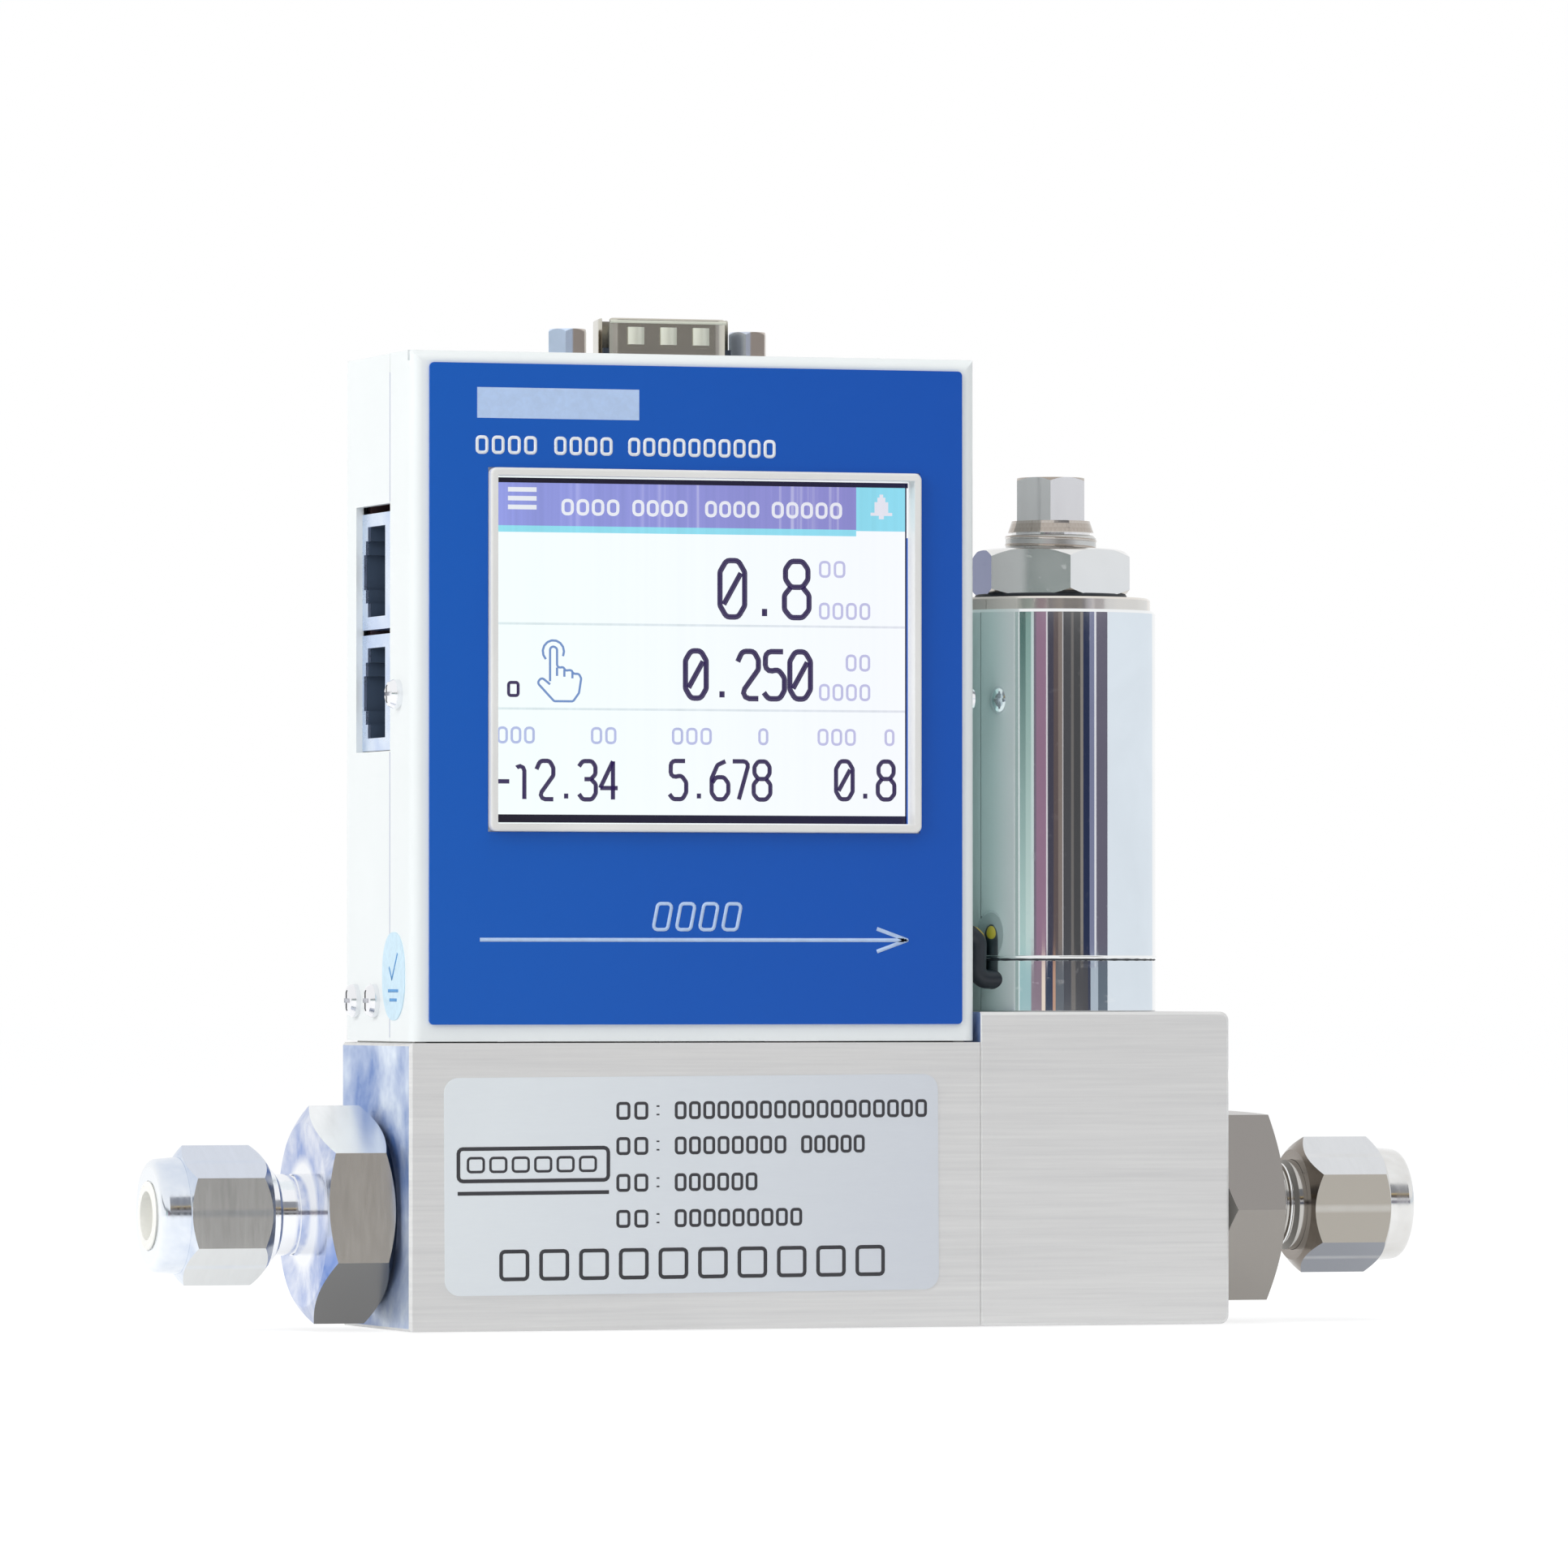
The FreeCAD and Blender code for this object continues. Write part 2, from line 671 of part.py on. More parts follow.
# Plastic shipping plug in the inlet's tube hole.
plug = new_body("inlet_plug", x_left, 0, S.axis_high, Rotation(Vector(0, 0, 1), 180))
plug_r = S.tube_radius
turned(plug, "X", [
    (mouth - 5, 0), (mouth - 5, plug_r - 0.6), (mouth - 4, plug_r), (nose_end + 0.02, plug_r),
    (nose_end + 0.02, S.plug_flange), (nose_end + S.plug_proud - 0.1, S.plug_flange),
    (nose_end + S.plug_proud, S.plug_flange - 0.15), (nose_end + S.plug_proud, S.plug_recess),
    (nose_end - S.plug_hollow, S.plug_recess - 0.3), (nose_end - S.plug_hollow, 0),
])
fitting("outlet", x_right, outlet_z, 0, S.outlet_hex_end, S.outlet_nut_start,
        S.outlet_hex_roll.value, S.outlet_nut_roll.value, True)

# Front shell: a folded cover with side and top flanges, open at the back and below.
front = new_body("front_shell")
add(front, "XY", [rect(shell_x0, shell_y0, shell_x1, split_y)], shell_z0, shell_z1)
finish(front, "Fillet", S.bend_round, lambda e: near(e.BoundBox.YMin, shell_y0)
       and near(e.BoundBox.YMax, shell_y0) and not near(e.BoundBox.ZMax, shell_z0))
cut(front, "XY", [rect(shell_x0 + S.sheet, shell_y0 + S.sheet, shell_x1 - S.sheet, split_y + 1)],
    shell_z0 - 1, shell_z1 - S.sheet)
window_x = S.bezel_wide / 2 - S.bezel_step
window_z = S.bezel_high / 2 - S.bezel_step
cut(front, "XZ", [rect(bezel_x - window_x, bezel_z - window_z, bezel_x + window_x, bezel_z + window_z)],
    shell_y0 - 1, shell_y0 + S.sheet + 1)
side_z = shell_z0 + S.side_screw_up
cut(front, "YZ", [("circle", S.side_screw_y, side_z, screw_hole)], shell_x0 - 1, shell_x1 + 1)
lead_top = shell_z0 + S.lead_top_up
cut(front, "YZ",
    [rect(lead_y - 0.001, lead_top - S.grommet_radius, split_y + 1, lead_top + S.grommet_radius)],
    shell_x1 - S.sheet - 1, shell_x1 + 1)
cut(front, "YZ", [("circle", lead_y, lead_top, S.grommet_radius)], shell_x1 - S.sheet - 1, shell_x1 + 1)
for x0, x1 in ((shell_x0 - 1, shell_x0 + S.sheet), (shell_x1 - S.sheet, shell_x1 + 1)):
    cut(front, "XY", [rect(x0, shell_y0 + S.bend_round - 0.4, x1, shell_y0 + S.bend_round + 0.3)],
        shell_z1 - S.bend_round, shell_z1 + 1)

# Rear shell: back, side flanges and top, cut for the network jacks and the connector.
rear = new_body("rear_shell")
add(rear, "XY", [rect(shell_x0, rear_y0, shell_x1, shell_y1)], shell_z0, shell_z1)
finish(rear, "Fillet", S.bend_round, lambda e: near(e.BoundBox.YMin, shell_y1)
       and near(e.BoundBox.YMax, shell_y1) and not near(e.BoundBox.ZMax, shell_z0))
cut(rear, "XY", [rect(shell_x0 + S.sheet, rear_y0 - 1, shell_x1 - S.sheet, shell_y1 - S.sheet)],
    shell_z0 - 1, shell_z1 - S.sheet)
cut_z0 = shell_z0 + S.jack_cut_low
cut(rear, "YZ", [rect(rear_y0 - 1, cut_z0, S.jack_back, cut_z0 + S.jack_cut_high)],
    shell_x0 - 1, shell_x0 + S.sheet + 0.5)
half = S.dsub_wide / 2 + S.dsub_clear
deep = S.dsub_deep / 2 + S.dsub_clear
opening = ("polygon", [(dsub_x - half, S.dsub_back - deep), (dsub_x + half, S.dsub_back - deep),
                       (dsub_x + half - S.dsub_slope, S.dsub_back + deep),
                       (dsub_x - half + S.dsub_slope, S.dsub_back + deep)])
cut(rear, "XY", [opening], shell_z1 - S.sheet - 1, shell_z1 + 1)
stud_hole = S.jackscrew_stud + S.screw_clear
for side in (-1, 1):
    cut(rear, "XY", [("circle", dsub_x + side * S.jackscrew_spacing / 2, S.dsub_back, stud_hole)],
        shell_z1 - S.sheet - 1, shell_z1 + 1)
# The right-hand base screws clear the taller valve block beside them.
base_z = shell_z0 + S.base_screw_up
base_z_right = S.valve_block_high + S.base_head_radius + S.base_screw_over
for hole_y in (S.base_screw_y_one, S.base_screw_y_two):
    cut(rear, "YZ", [("circle", hole_y, base_z, screw_hole)], shell_x0 - 1, shell_mid)
    cut(rear, "YZ", [("circle", hole_y, base_z_right, screw_hole)], shell_mid, shell_x1 + 1)
board_back = S.jack_back + S.board_thick
board_x0 = shell_x0 + S.sheet + S.main_board_gap
board_x1 = shell_x1 - S.sheet - S.main_board_gap
board_z0 = shell_z0 + S.main_board_low
board_z1 = board_z0 + S.main_board_high
for boss_x in (board_x0 + S.boss_inset, board_x1 - S.boss_inset):
    for boss_z in (board_z0 + S.boss_inset, board_z1 - S.boss_inset):
        add(rear, "XZ", [("circle", boss_x, boss_z, S.boss_radius)], board_back, shell_y1 - S.sheet / 2)

# Coloured front film.
overlay = new_body("front_overlay")
add(overlay, "XZ", [
    rect(shell_x0 + S.overlay_left, shell_z0 + S.overlay_low,
         shell_x1 - S.overlay_right, shell_z1 - S.overlay_top),
], shell_y0 - S.overlay_thick, shell_y0)
finish(overlay, "Fillet", S.overlay_round, crossing)
gap_x = S.bezel_wide / 2 + 0.05
gap_z = S.bezel_high / 2 + 0.05
cut(overlay, "XZ", [rect(bezel_x - gap_x, bezel_z - gap_z, bezel_x + gap_x, bezel_z + gap_z)],
    shell_y0 - S.overlay_thick - 1, shell_y0 + 1)

# Display frame: a raised lip on the cover and a skirt through its window.
bezel = new_body("display_bezel", bezel_x, 0, bezel_z)
lip_x = S.bezel_wide / 2
lip_z = S.bezel_high / 2
skirt_x = window_x - 0.1
skirt_z = window_z - 0.1
open_x = lip_x - S.bezel_rim
open_z = lip_z - S.bezel_rim
add(bezel, "XZ", [rect(-lip_x, -lip_z, lip_x, lip_z)], shell_y0 - S.bezel_proud, shell_y0)
finish(bezel, "Fillet", S.bezel_round, crossing)
finish(bezel, "Fillet", 0.35, lambda e: near(e.BoundBox.YMin, shell_y0 - S.bezel_proud)
       and near(e.BoundBox.YMax, shell_y0 - S.bezel_proud))
add(bezel, "XZ", [rect(-skirt_x, -skirt_z, skirt_x, skirt_z)], shell_y0 - 0.5, shell_y0 + S.bezel_behind)
cut(bezel, "XZ", [rect(-open_x, -open_z, open_x, open_z)], shell_y0 - S.bezel_proud - 1,
    shell_y0 + S.bezel_behind + 1)

# Display panel inside the frame, its metal carrier and its board.
panel_y = shell_y0 - S.bezel_proud + S.panel_sink
carrier_y = shell_y0 + S.bezel_behind
panel = new_body("display_panel", bezel_x, 0, bezel_z)
add(panel, "XZ", [rect(-open_x + S.panel_clear, -open_z + S.panel_clear, open_x - S.panel_clear,
                       open_z - S.panel_clear)], panel_y, carrier_y)
carrier = new_body("display_frame", bezel_x, 0, bezel_z)
board_y = carrier_y + S.display_frame_thick
carrier_half_x = open_x + S.display_frame_margin
carrier_half_z = open_z + S.display_frame_margin
add(carrier, "XZ", [rect(-carrier_half_x, -carrier_half_z, carrier_half_x, carrier_half_z)],
    carrier_y, board_y)
display_board = new_body("display_board", shell_mid, 0, bezel_z)
board_half_x = shell_wide / 2 - S.sheet - S.bracket_thick - S.display_board_gap
add(display_board, "XZ", [
    rect(-board_half_x, -S.display_board_high / 2, board_half_x, S.display_board_high / 2),
], board_y, board_y + S.board_thick)

# Main board, standing on the rear shell's bosses.
main_board = new_body("main_board")
add(main_board, "XZ", [rect(board_x0, board_z0, board_x1, board_z1)], S.jack_back, board_back)

# Network jacks: metal shield, moulded insert with a stepped plug hole, and spring contacts.
jack_x = shell_x0 + S.jack_sink
jack_mid_y = (S.jack_front + S.jack_back) / 2
lower_z = shell_z0 + S.jack_low_mid
for label, jack_z in (("lower", lower_z), ("upper", lower_z + S.jack_pitch)):
    half = S.jack_wide / 2
    step_one = S.plug_back + S.latch_step
    step_two = step_one + S.latch_step * 0.85
    mouth_shape = ("polygon", [
        (S.plug_front, -S.plug_half), (S.plug_back, -S.plug_half), (S.plug_back, -S.latch_half_wide),
        (step_one, -S.latch_half_wide), (step_one, -S.latch_half_narrow), (step_two, -S.latch_half_narrow),
        (step_two, S.latch_half_narrow), (step_one, S.latch_half_narrow), (step_one, S.latch_half_wide),
        (S.plug_back, S.latch_half_wide), (S.plug_back, S.plug_half), (S.plug_front, S.plug_half),
    ])
    shield = new_body(f"jack_shield_{label}", jack_x, 0, jack_z)
    add(shield, "YZ", [rect(S.jack_front, -half, S.jack_back - 0.02, half)], 0, S.jack_long)
    wall = S.shield_wall
    cut(shield, "YZ", [rect(S.jack_front + wall, -half + wall, S.jack_back - wall, half - wall)], wall,
        S.jack_long + 1)
    cut(shield, "YZ", [mouth_shape], -1, wall + 0.5)
    insert = new_body(f"jack_insert_{label}", jack_x, 0, jack_z)
    slack = wall + 0.03
    add(insert, "YZ", [rect(S.jack_front + slack, -half + slack, S.jack_back - slack, half - slack)], slack,
        S.jack_long - 0.5)
    cut(insert, "YZ", [mouth_shape], -1, S.plug_deep)
    contacts = new_body(f"jack_contacts_{label}", jack_x, 0, jack_z)
    back = S.plug_deep - 0.02
    row_half = S.contact_pitch * 3.5 + S.contact_wide
    add(contacts, "XY", [rect(back - 0.9, S.plug_front + 0.02, back, S.plug_front + 0.6)],
        -row_half, row_half)
    wire = add(contacts, "XY", [("polygon", [
        (back - 0.5, S.plug_front + 0.1), (back - 0.5, S.plug_front + 0.5), (back - 2.5, S.plug_front + 0.6),
        (4.4, S.plug_front + 2.1), (3.4, S.plug_front + 1.2), (3.7, S.plug_front + 1.0),
        (4.5, S.plug_front + 1.7), (back - 2.6, S.plug_front + 0.25),
    ])], -S.contact_pitch * 3.5 - S.contact_wide / 2, -S.contact_pitch * 3.5 + S.contact_wide / 2)
    comb = contacts.newObject("PartDesign::LinearPattern", f"contact_row_{label}")
    comb.Originals = [wire]
    comb.Direction = (next(f for f in contacts.Origin.OriginFeatures if f.Role == "Z_Axis"), [""])
    bind(comb, "Length", S.contact_pitch * 7)
    comb.Occurrences = 8
    contacts.Tip = comb
    doc.recompute()


def trapezoid(grow):
    """The connector's D outline, grown on every side."""
    half = S.dsub_wide / 2 + grow
    deep = S.dsub_deep / 2 + grow
    return ("polygon", [
        (-half, -deep), (half, -deep), (half - S.dsub_slope, deep), (-half + S.dsub_slope, deep),
    ])


# Nine-way connector: plated shell with a flange under the housing's top.
under_top = shell_z1 - S.sheet
flange_low = under_top - 1.0
dsub_top = shell_z1 + S.dsub_proud
shell = new_body("dsub_shell", dsub_x, S.dsub_back, 0)
add(shell, "XY", [trapezoid(0)], flange_low, dsub_top)
finish(shell, "Fillet", S.dsub_round, lambda e: not near(e.BoundBox.ZLength, 0))
finish(shell, "Fillet", 0.3, lambda e: near(e.BoundBox.ZMin, dsub_top))
add(shell, "XY", [rect(-S.dsub_flange_wide / 2, -S.dsub_flange_deep / 2, S.dsub_flange_wide / 2,
                       S.dsub_flange_deep / 2)], flange_low, under_top)
for place in (-1, 0, 1):
    middle = place * 4.6
    add(shell, "XZ", [rect(middle - 0.8, dsub_top - 3.9, middle + 0.8, dsub_top - 1.5)],
        -S.dsub_deep / 2 - 0.22, -S.dsub_deep / 2 + 0.2)
cut(shell, "XY", [trapezoid(-S.dsub_wall)], flange_low - 1, dsub_top + 1)
for side in (-1, 1):
    cut(shell, "XY", [("circle", side * S.jackscrew_spacing / 2, 0, stud_hole)],
        flange_low - 1, under_top + 1)

insulator = new_body("dsub_insulator", dsub_x, S.dsub_back, 0)
wafer_z = flange_low - S.insulator_deep
face_z = dsub_top - S.dsub_recess
add(insulator, "XY", [trapezoid(-S.dsub_wall - 0.05)], flange_low - 1, face_z)
add(insulator, "XY", [rect(-S.dsub_wide / 2 - 0.8, -S.dsub_deep / 2 - 0.8, S.dsub_wide / 2 + 0.8,
                           S.dsub_deep / 2 + 0.8)], wafer_z, flange_low - 0.02)
pin_spots = [((i - 2) * S.pin_pitch, -S.pin_row / 2) for i in range(5)]
pin_spots += [((i - 1.5) * S.pin_pitch, S.pin_row / 2) for i in range(4)]
cut(insulator, "XY", [("circle", x, y, S.pin_radius + 0.04) for x, y in pin_spots], wafer_z - 1, face_z + 1)
pins = new_body("dsub_pins", dsub_x, S.dsub_back, 0)
add(pins, "XY", [rect(-S.dsub_wide / 2, -S.dsub_deep / 2, S.dsub_wide / 2, S.dsub_deep / 2)],
    wafer_z - 1.2, wafer_z - 0.02)
add(pins, "XY", [("circle", x, y, S.pin_radius) for x, y in pin_spots], wafer_z - 0.6, dsub_top - 0.7)

for side, label in ((-1, "jackscrew_left"), (1, "jackscrew_right")):
    post = new_body(label, dsub_x + side * S.jackscrew_spacing / 2, S.dsub_back, shell_z1)
    blank = S.jackscrew_across * 0.5774 + 0.02
    high = S.jackscrew_high
    turned(post, "Z", [
        (-6.5, 0), (-6.5, S.jackscrew_stud), (0, S.jackscrew_stud), (0, blank - 0.4), (0.4, blank),
        (high - 0.4, blank), (high, blank - 0.4), (high, S.jackscrew_hole + 0.3),
        (high - 0.3, S.jackscrew_hole), (0.6, S.jackscrew_hole), (0.6, 0),
    ])
    cut(post, "XY", [("circle", 0, 0, blank + 2), hexagon(S.jackscrew_across, 8)], 0, high)

# Brackets that carry the housing on the block: a foot, a low wing and a tall strip each.
for side, label in ((-1, "bracket_left"), (1, "bracket_right")):
    wall_x = shell_x0 + S.sheet if side < 0 else shell_x1 - S.sheet
    inner_x = wall_x - side * S.bracket_thick
    x0, x1 = (wall_x, inner_x) if side < 0 else (inner_x, wall_x)
    low_z = base_z if side < 0 else base_z_right
    bracket = new_body(label)
    waist_z = S.block_high + S.bracket_low_high
    add(bracket, "YZ", [("polygon", [
        (S.bracket_front, S.block_high), (S.bracket_back, S.block_high), (S.bracket_back, waist_z),
        (S.bracket_waist, waist_z), (S.bracket_waist, S.block_high + S.bracket_top),
        (S.bracket_front, S.block_high + S.bracket_top),
    ])], x0, x1)
    foot_x = wall_x - side * S.bracket_foot
    f0, f1 = (wall_x, foot_x) if side < 0 else (foot_x, wall_x)
    add(bracket, "XY", [rect(f0, -8, f1, 8)], S.block_high, S.block_high + S.bracket_thick)
    cut(bracket, "YZ", [("circle", S.side_screw_y, side_z, tapped_hole)], x0 - 1, x1 + 1)
    for hole_y in (S.base_screw_y_one, S.base_screw_y_two):
        cut(bracket, "YZ", [("circle", hole_y, low_z, tapped_hole)], x0 - 1, x1 + 1)
    if side > 0:
        room = S.grommet_radius + S.grommet_lip + 0.3
        cut(bracket, "YZ", [("circle", lead_y, lead_top, room)], x0 - 1, x1 + 1)
        cut(bracket, "YZ", [rect(lead_y, lead_top - room, S.bracket_waist + 1, lead_top + room)],
            x0 - 1, x1 + 1)


def pan_screw(label, x, y, z, outward, head_radius, head_high, reach):
    """A pan-head cross screw; its axis is the body's X, with the head towards the outside."""
    screw = new_body(label, x, y, z, Rotation(Vector(0, 0, 1), 0 if outward > 0 else 180))
    turned(screw, "X", [
        (-reach, 0), (-reach, S.screw_shank - 0.3), (0.4 - reach, S.screw_shank),
        (0, S.screw_shank), (0, head_radius), (head_high * 0.45, head_radius),
        (head_high * 0.85, head_radius * 0.82), (head_high, head_radius * 0.5), (head_high, 0),
    ])
    arm = head_radius * 0.62
    slot = head_radius * 0.13
    cut(screw, "YZ", [("polygon", [
        (-arm, -slot), (-slot, -slot), (-slot, -arm), (slot, -arm), (slot, -slot), (arm, -slot),
        (arm, slot), (slot, slot), (slot, arm), (-slot, arm), (-slot, slot), (-arm, slot),
    ])], head_high * 0.4, head_high + 1)


side_reach = S.sheet + S.bracket_thick + S.side_screw_tip
pan_screw("side_screw_left", shell_x0, S.side_screw_y, side_z, -1, S.side_head_radius, S.side_head_high,
          side_reach)
pan_screw("side_screw_right", shell_x1, S.side_screw_y, side_z, 1, S.side_head_radius, S.side_head_high,
          side_reach)
for tag, hole_y in (("front", S.base_screw_y_one), ("rear", S.base_screw_y_two)):
    pan_screw(f"base_screw_left_{tag}", shell_x0, hole_y, base_z, -1, S.base_head_radius, S.base_head_high,
              S.screw_len)
    pan_screw(f"base_screw_right_{tag}", shell_x1, hole_y, base_z_right, 1, S.base_head_radius,
              S.base_head_high, S.screw_len)

# Rating label on the block's front, laid a little out of true.
label_x = x_left + S.label_left + S.label_wide / 2
label_z = S.label_low + S.label_high / 2
label = new_body("rating_label", label_x, -half_deep, label_z, Rotation(Vector(0, -1, 0), S.label_turn.value))
add(label, "XZ", [rect(-S.label_wide / 2, -S.label_high / 2, S.label_wide / 2, S.label_high / 2)],
    -S.label_thick, 0)
finish(label, "Fillet", S.label_round, crossing)

# Oval inspection sticker across the housing's side seam.
sticker = new_body("inspection_sticker", shell_x0, S.sticker_y, shell_z0 + S.sticker_up)
add(sticker, "YZ", [rect(-S.sticker_wide / 2, -S.sticker_high / 2, S.sticker_wide / 2, S.sticker_high / 2)],
    -S.sticker_thick, 0)
finish(sticker, "Fillet", S.sticker_wide * 0.47, lambda e: span(e)[0] > 0.01)

# Flow sensor: a capillary bridge over the laminar element, heated by two windings.
port_in = x_left + S.sensor_port_in
port_out = x_left + S.sensor_port_out
sensor_base = new_body("sensor_block")
sensor_top = S.block_high + S.sensor_base_high
add(sensor_base, "XY", [rect(port_in - 4, -S.sensor_base_wide / 2, port_out + 4, S.sensor_base_wide / 2)],
    S.block_high, sensor_top)
finish(sensor_base, "Chamfer", 0.8, upright)
tube_hole = S.sensor_tube_radius + 0.05
cut(sensor_base, "XY", [("circle", port_in, 0, tube_hole), ("circle", port_out, 0, tube_hole)],
    S.block_high - 1, sensor_top + 1)


def smooth_path(points, radius):
    """Straight runs joined by tangent arcs of one radius."""
    edges = []
    start = points[0]
    for before, corner, after in zip(points, points[1:], points[2:]):
        back = (before - corner).normalize()
        ahead = (after - corner).normalize()
        angle = back.getAngle(ahead)
        trim = radius / math.tan(angle / 2)
        first = corner + back * trim
        last = corner + ahead * trim
        middle = (back + ahead).normalize()
        centre = corner + middle * (radius / math.sin(angle / 2))
        edges.append(Part.LineSegment(start, first).toShape())
        edges.append(Part.Arc(first, centre - middle * radius, last).toShape())
        start = last
    edges.append(Part.LineSegment(start, points[-1]).toShape())
    return Part.Wire(edges)


def tube_along(label, points, bend, radius, bore=0):
    """A round tube or rod along a path; its volume is compared with section times length."""
    path = smooth_path(points, bend)
    direction = (points[1] - points[0]).normalize()
    solids = []
    for size in (radius, bore):
        if size > 0:
            ring = Part.Wire(Part.Circle(points[0], direction, size).toShape())
            solids.append(path.makePipeShell([ring], True, True))
    shape = solids[0] if len(solids) == 1 else solids[0].cut(solids[1])
    expected = math.pi * (radius ** 2 - bore ** 2) * path.Length
    if abs(shape.Volume - expected) > expected * 0.02:
        raise RuntimeError(f"{label} has volume {shape.Volume:.2f}, expected {expected:.2f}")
    piece = doc.addObject("Part::Feature", label)
    piece.Label = label
    piece.Shape = shape
    return piece


low_z = S.block_high.value + 1
rise_z = low_z + S.sensor_rise.value
tube_along("sensor_tube", [Vector(port_in.value, 0, low_z), Vector(port_in.value, 0, rise_z),
                           Vector(port_out.value, 0, rise_z), Vector(port_out.value, 0, low_z)],
           S.sensor_bend.value, S.sensor_tube_radius.value, 0.4)
tube_mid = (port_in + port_out) / 2
for side, label in ((-1, "sensor_winding_in"), (1, "sensor_winding_out")):
    start = side * (S.winding_len / 2 + 0.6) - S.winding_len / 2
    winding = new_body(label, tube_mid, 0, S.block_high + 1 + S.sensor_rise)
    turned(winding, "X", [(start, S.sensor_tube_radius + 0.03), (start, S.winding_radius),
                          (start + S.winding_len, S.winding_radius),
                          (start + S.winding_len, S.sensor_tube_radius + 0.03)])

# Control valve, turned round its own upright axis.
ring_z0 = S.valve_block_high
ring_z1 = ring_z0 + S.ring_high
sleeve_z1 = ring_z1 + S.sleeve_high
cap_z1 = sleeve_z1 + S.cap_high
lock_z0 = cap_z1 + S.lock_gap
lock_z1 = lock_z0 + S.lock_high
thread_z1 = lock_z1 + S.thread_proud
collar_z1 = thread_z1 + S.stem_collar_high
stem_z1 = collar_z1 + S.stem_high
sleeve_in = S.sleeve_radius - S.sleeve_wall
core_hole = S.core_outer + S.thread_clear
cavity_out = sleeve_in - 0.2
cavity_in = S.core_collar + 1.6
lead_low = S.valve_block_high + S.lead_low_up

ring = new_body("valve_ring", valve_x, 0, 0)
turned(ring, "Z", [
    (ring_z0 - S.spigot_len, core_hole), (ring_z0 - S.spigot_len, S.valve_well_radius - 0.6),
    (ring_z0 - S.spigot_len + 0.6, S.valve_well_radius - S.thread_clear),
    (ring_z0, S.valve_well_radius - S.thread_clear), (ring_z0, S.sleeve_radius - 0.15),
    (ring_z0 + 0.15, S.sleeve_radius), (ring_z1 - 0.15, S.sleeve_radius), (ring_z1, S.sleeve_radius - 0.15),
    (ring_z1, cavity_out), (ring_z0 + 2.4, cavity_out), (ring_z0 + 2.4, cavity_in),
    (ring_z1, cavity_in), (ring_z1, core_hole),
])
cut(ring, "YZ", [("circle", lead_y, lead_low, S.lead_radius + 0.05)], -S.sleeve_radius - 1, -6)

sleeve = new_body("valve_sleeve", valve_x, 0, 0)
turned(sleeve, "Z", [
    (ring_z1, sleeve_in), (ring_z1, S.sleeve_radius - 0.15), (ring_z1 + 0.15, S.sleeve_radius),
    (sleeve_z1 - 0.4, S.sleeve_radius), (sleeve_z1, S.sleeve_radius - 0.4), (sleeve_z1, sleeve_in),
])

cap = new_body("valve_cap", valve_x, 0, 0)
thread_hole = S.thread_radius + S.thread_clear
turned(cap, "Z", [
    (sleeve_z1 - 2.5, thread_hole), (sleeve_z1 - 2.5, sleeve_in - 0.05), (sleeve_z1, sleeve_in - 0.05),
    (sleeve_z1, S.cap_radius), (cap_z1 - 0.3, S.cap_radius), (cap_z1, S.cap_radius - 0.3),
    (cap_z1, thread_hole),
])

lock = new_body("lock_nut", valve_x, 0, 0)
blank = S.lock_across * 0.5774 + 0.03
flat = S.lock_across / 2
turned(lock, "Z", [
    (lock_z0, thread_hole), (lock_z0, flat - 0.1), (lock_z0 + S.lock_bevel, blank),
    (lock_z1 - S.lock_bevel, blank), (lock_z1 - 0.25, flat + 0.35), (lock_z1, flat - 0.5),
    (lock_z1, thread_hole + 0.5), (lock_z1 - 0.5, thread_hole),
])
cut(lock, "XY", [("circle", 0, 0, blank + 3), hexagon(S.lock_across, S.lock_turn.value)], lock_z0, lock_z1)

# Core tube: the plunger's guide, with a collar on the ring and a thread for the lock nut.
core = new_body("core_tube", valve_x, 0, 0)
thread_low = sleeve_z1 - 3.5
turned(core, "Z", [
    (ring_z0 - S.spigot_len + 0.5, S.core_inner), (ring_z0 - S.spigot_len + 0.5, S.core_outer),
    (ring_z1, S.core_outer),
    (ring_z1, S.core_collar), (ring_z1 + 1.8, S.core_collar), (ring_z1 + 1.8, S.core_outer),
    (thread_low, S.core_outer), (thread_low, S.thread_radius), (thread_z1 - 0.4, S.thread_radius),
    (thread_z1, S.thread_radius - 0.4), (thread_z1, S.core_inner),
])

# Valve seat with its nozzle and orifice.
seat_z0 = S.valve_well_floor
seat_z1 = seat_z0 + S.seat_high
seat = new_body("orifice_seat", valve_x, 0, 0)
turned(seat, "Z", [
    (seat_z0, S.orifice_radius * 3), (seat_z0, S.valve_well_radius - 0.05),
    (seat_z0 + 2.2, S.valve_well_radius - 0.05), (seat_z0 + 2.2, 3.2), (seat_z1 - 0.8, 2.4), (seat_z1, 1.6),
    (seat_z1, S.orifice_radius), (seat_z0 + 2.5, S.orifice_radius), (seat_z0 + 1.5, S.orifice_radius * 3),
])

# Plunger: slides in the core tube and closes on the nozzle.
plunger_z0 = seat_z1 + S.seat_gap
plunger_z1 = plunger_z0 + S.plunger_len
pocket_z = plunger_z1 - S.spring_pocket
plunger = new_body("plunger", valve_x, 0, 0)
pocket_r = S.spring_radius + S.spring_wire + 0.2
turned(plunger, "Z", [
    (plunger_z0, 0), (plunger_z0, S.plunger_radius - 0.5), (plunger_z0 + 0.5, S.plunger_radius),
    (plunger_z1 - 0.3, S.plunger_radius), (plunger_z1, S.plunger_radius - 0.3), (plunger_z1, pocket_r),
    (pocket_z, pocket_r), (pocket_z, 0),
])

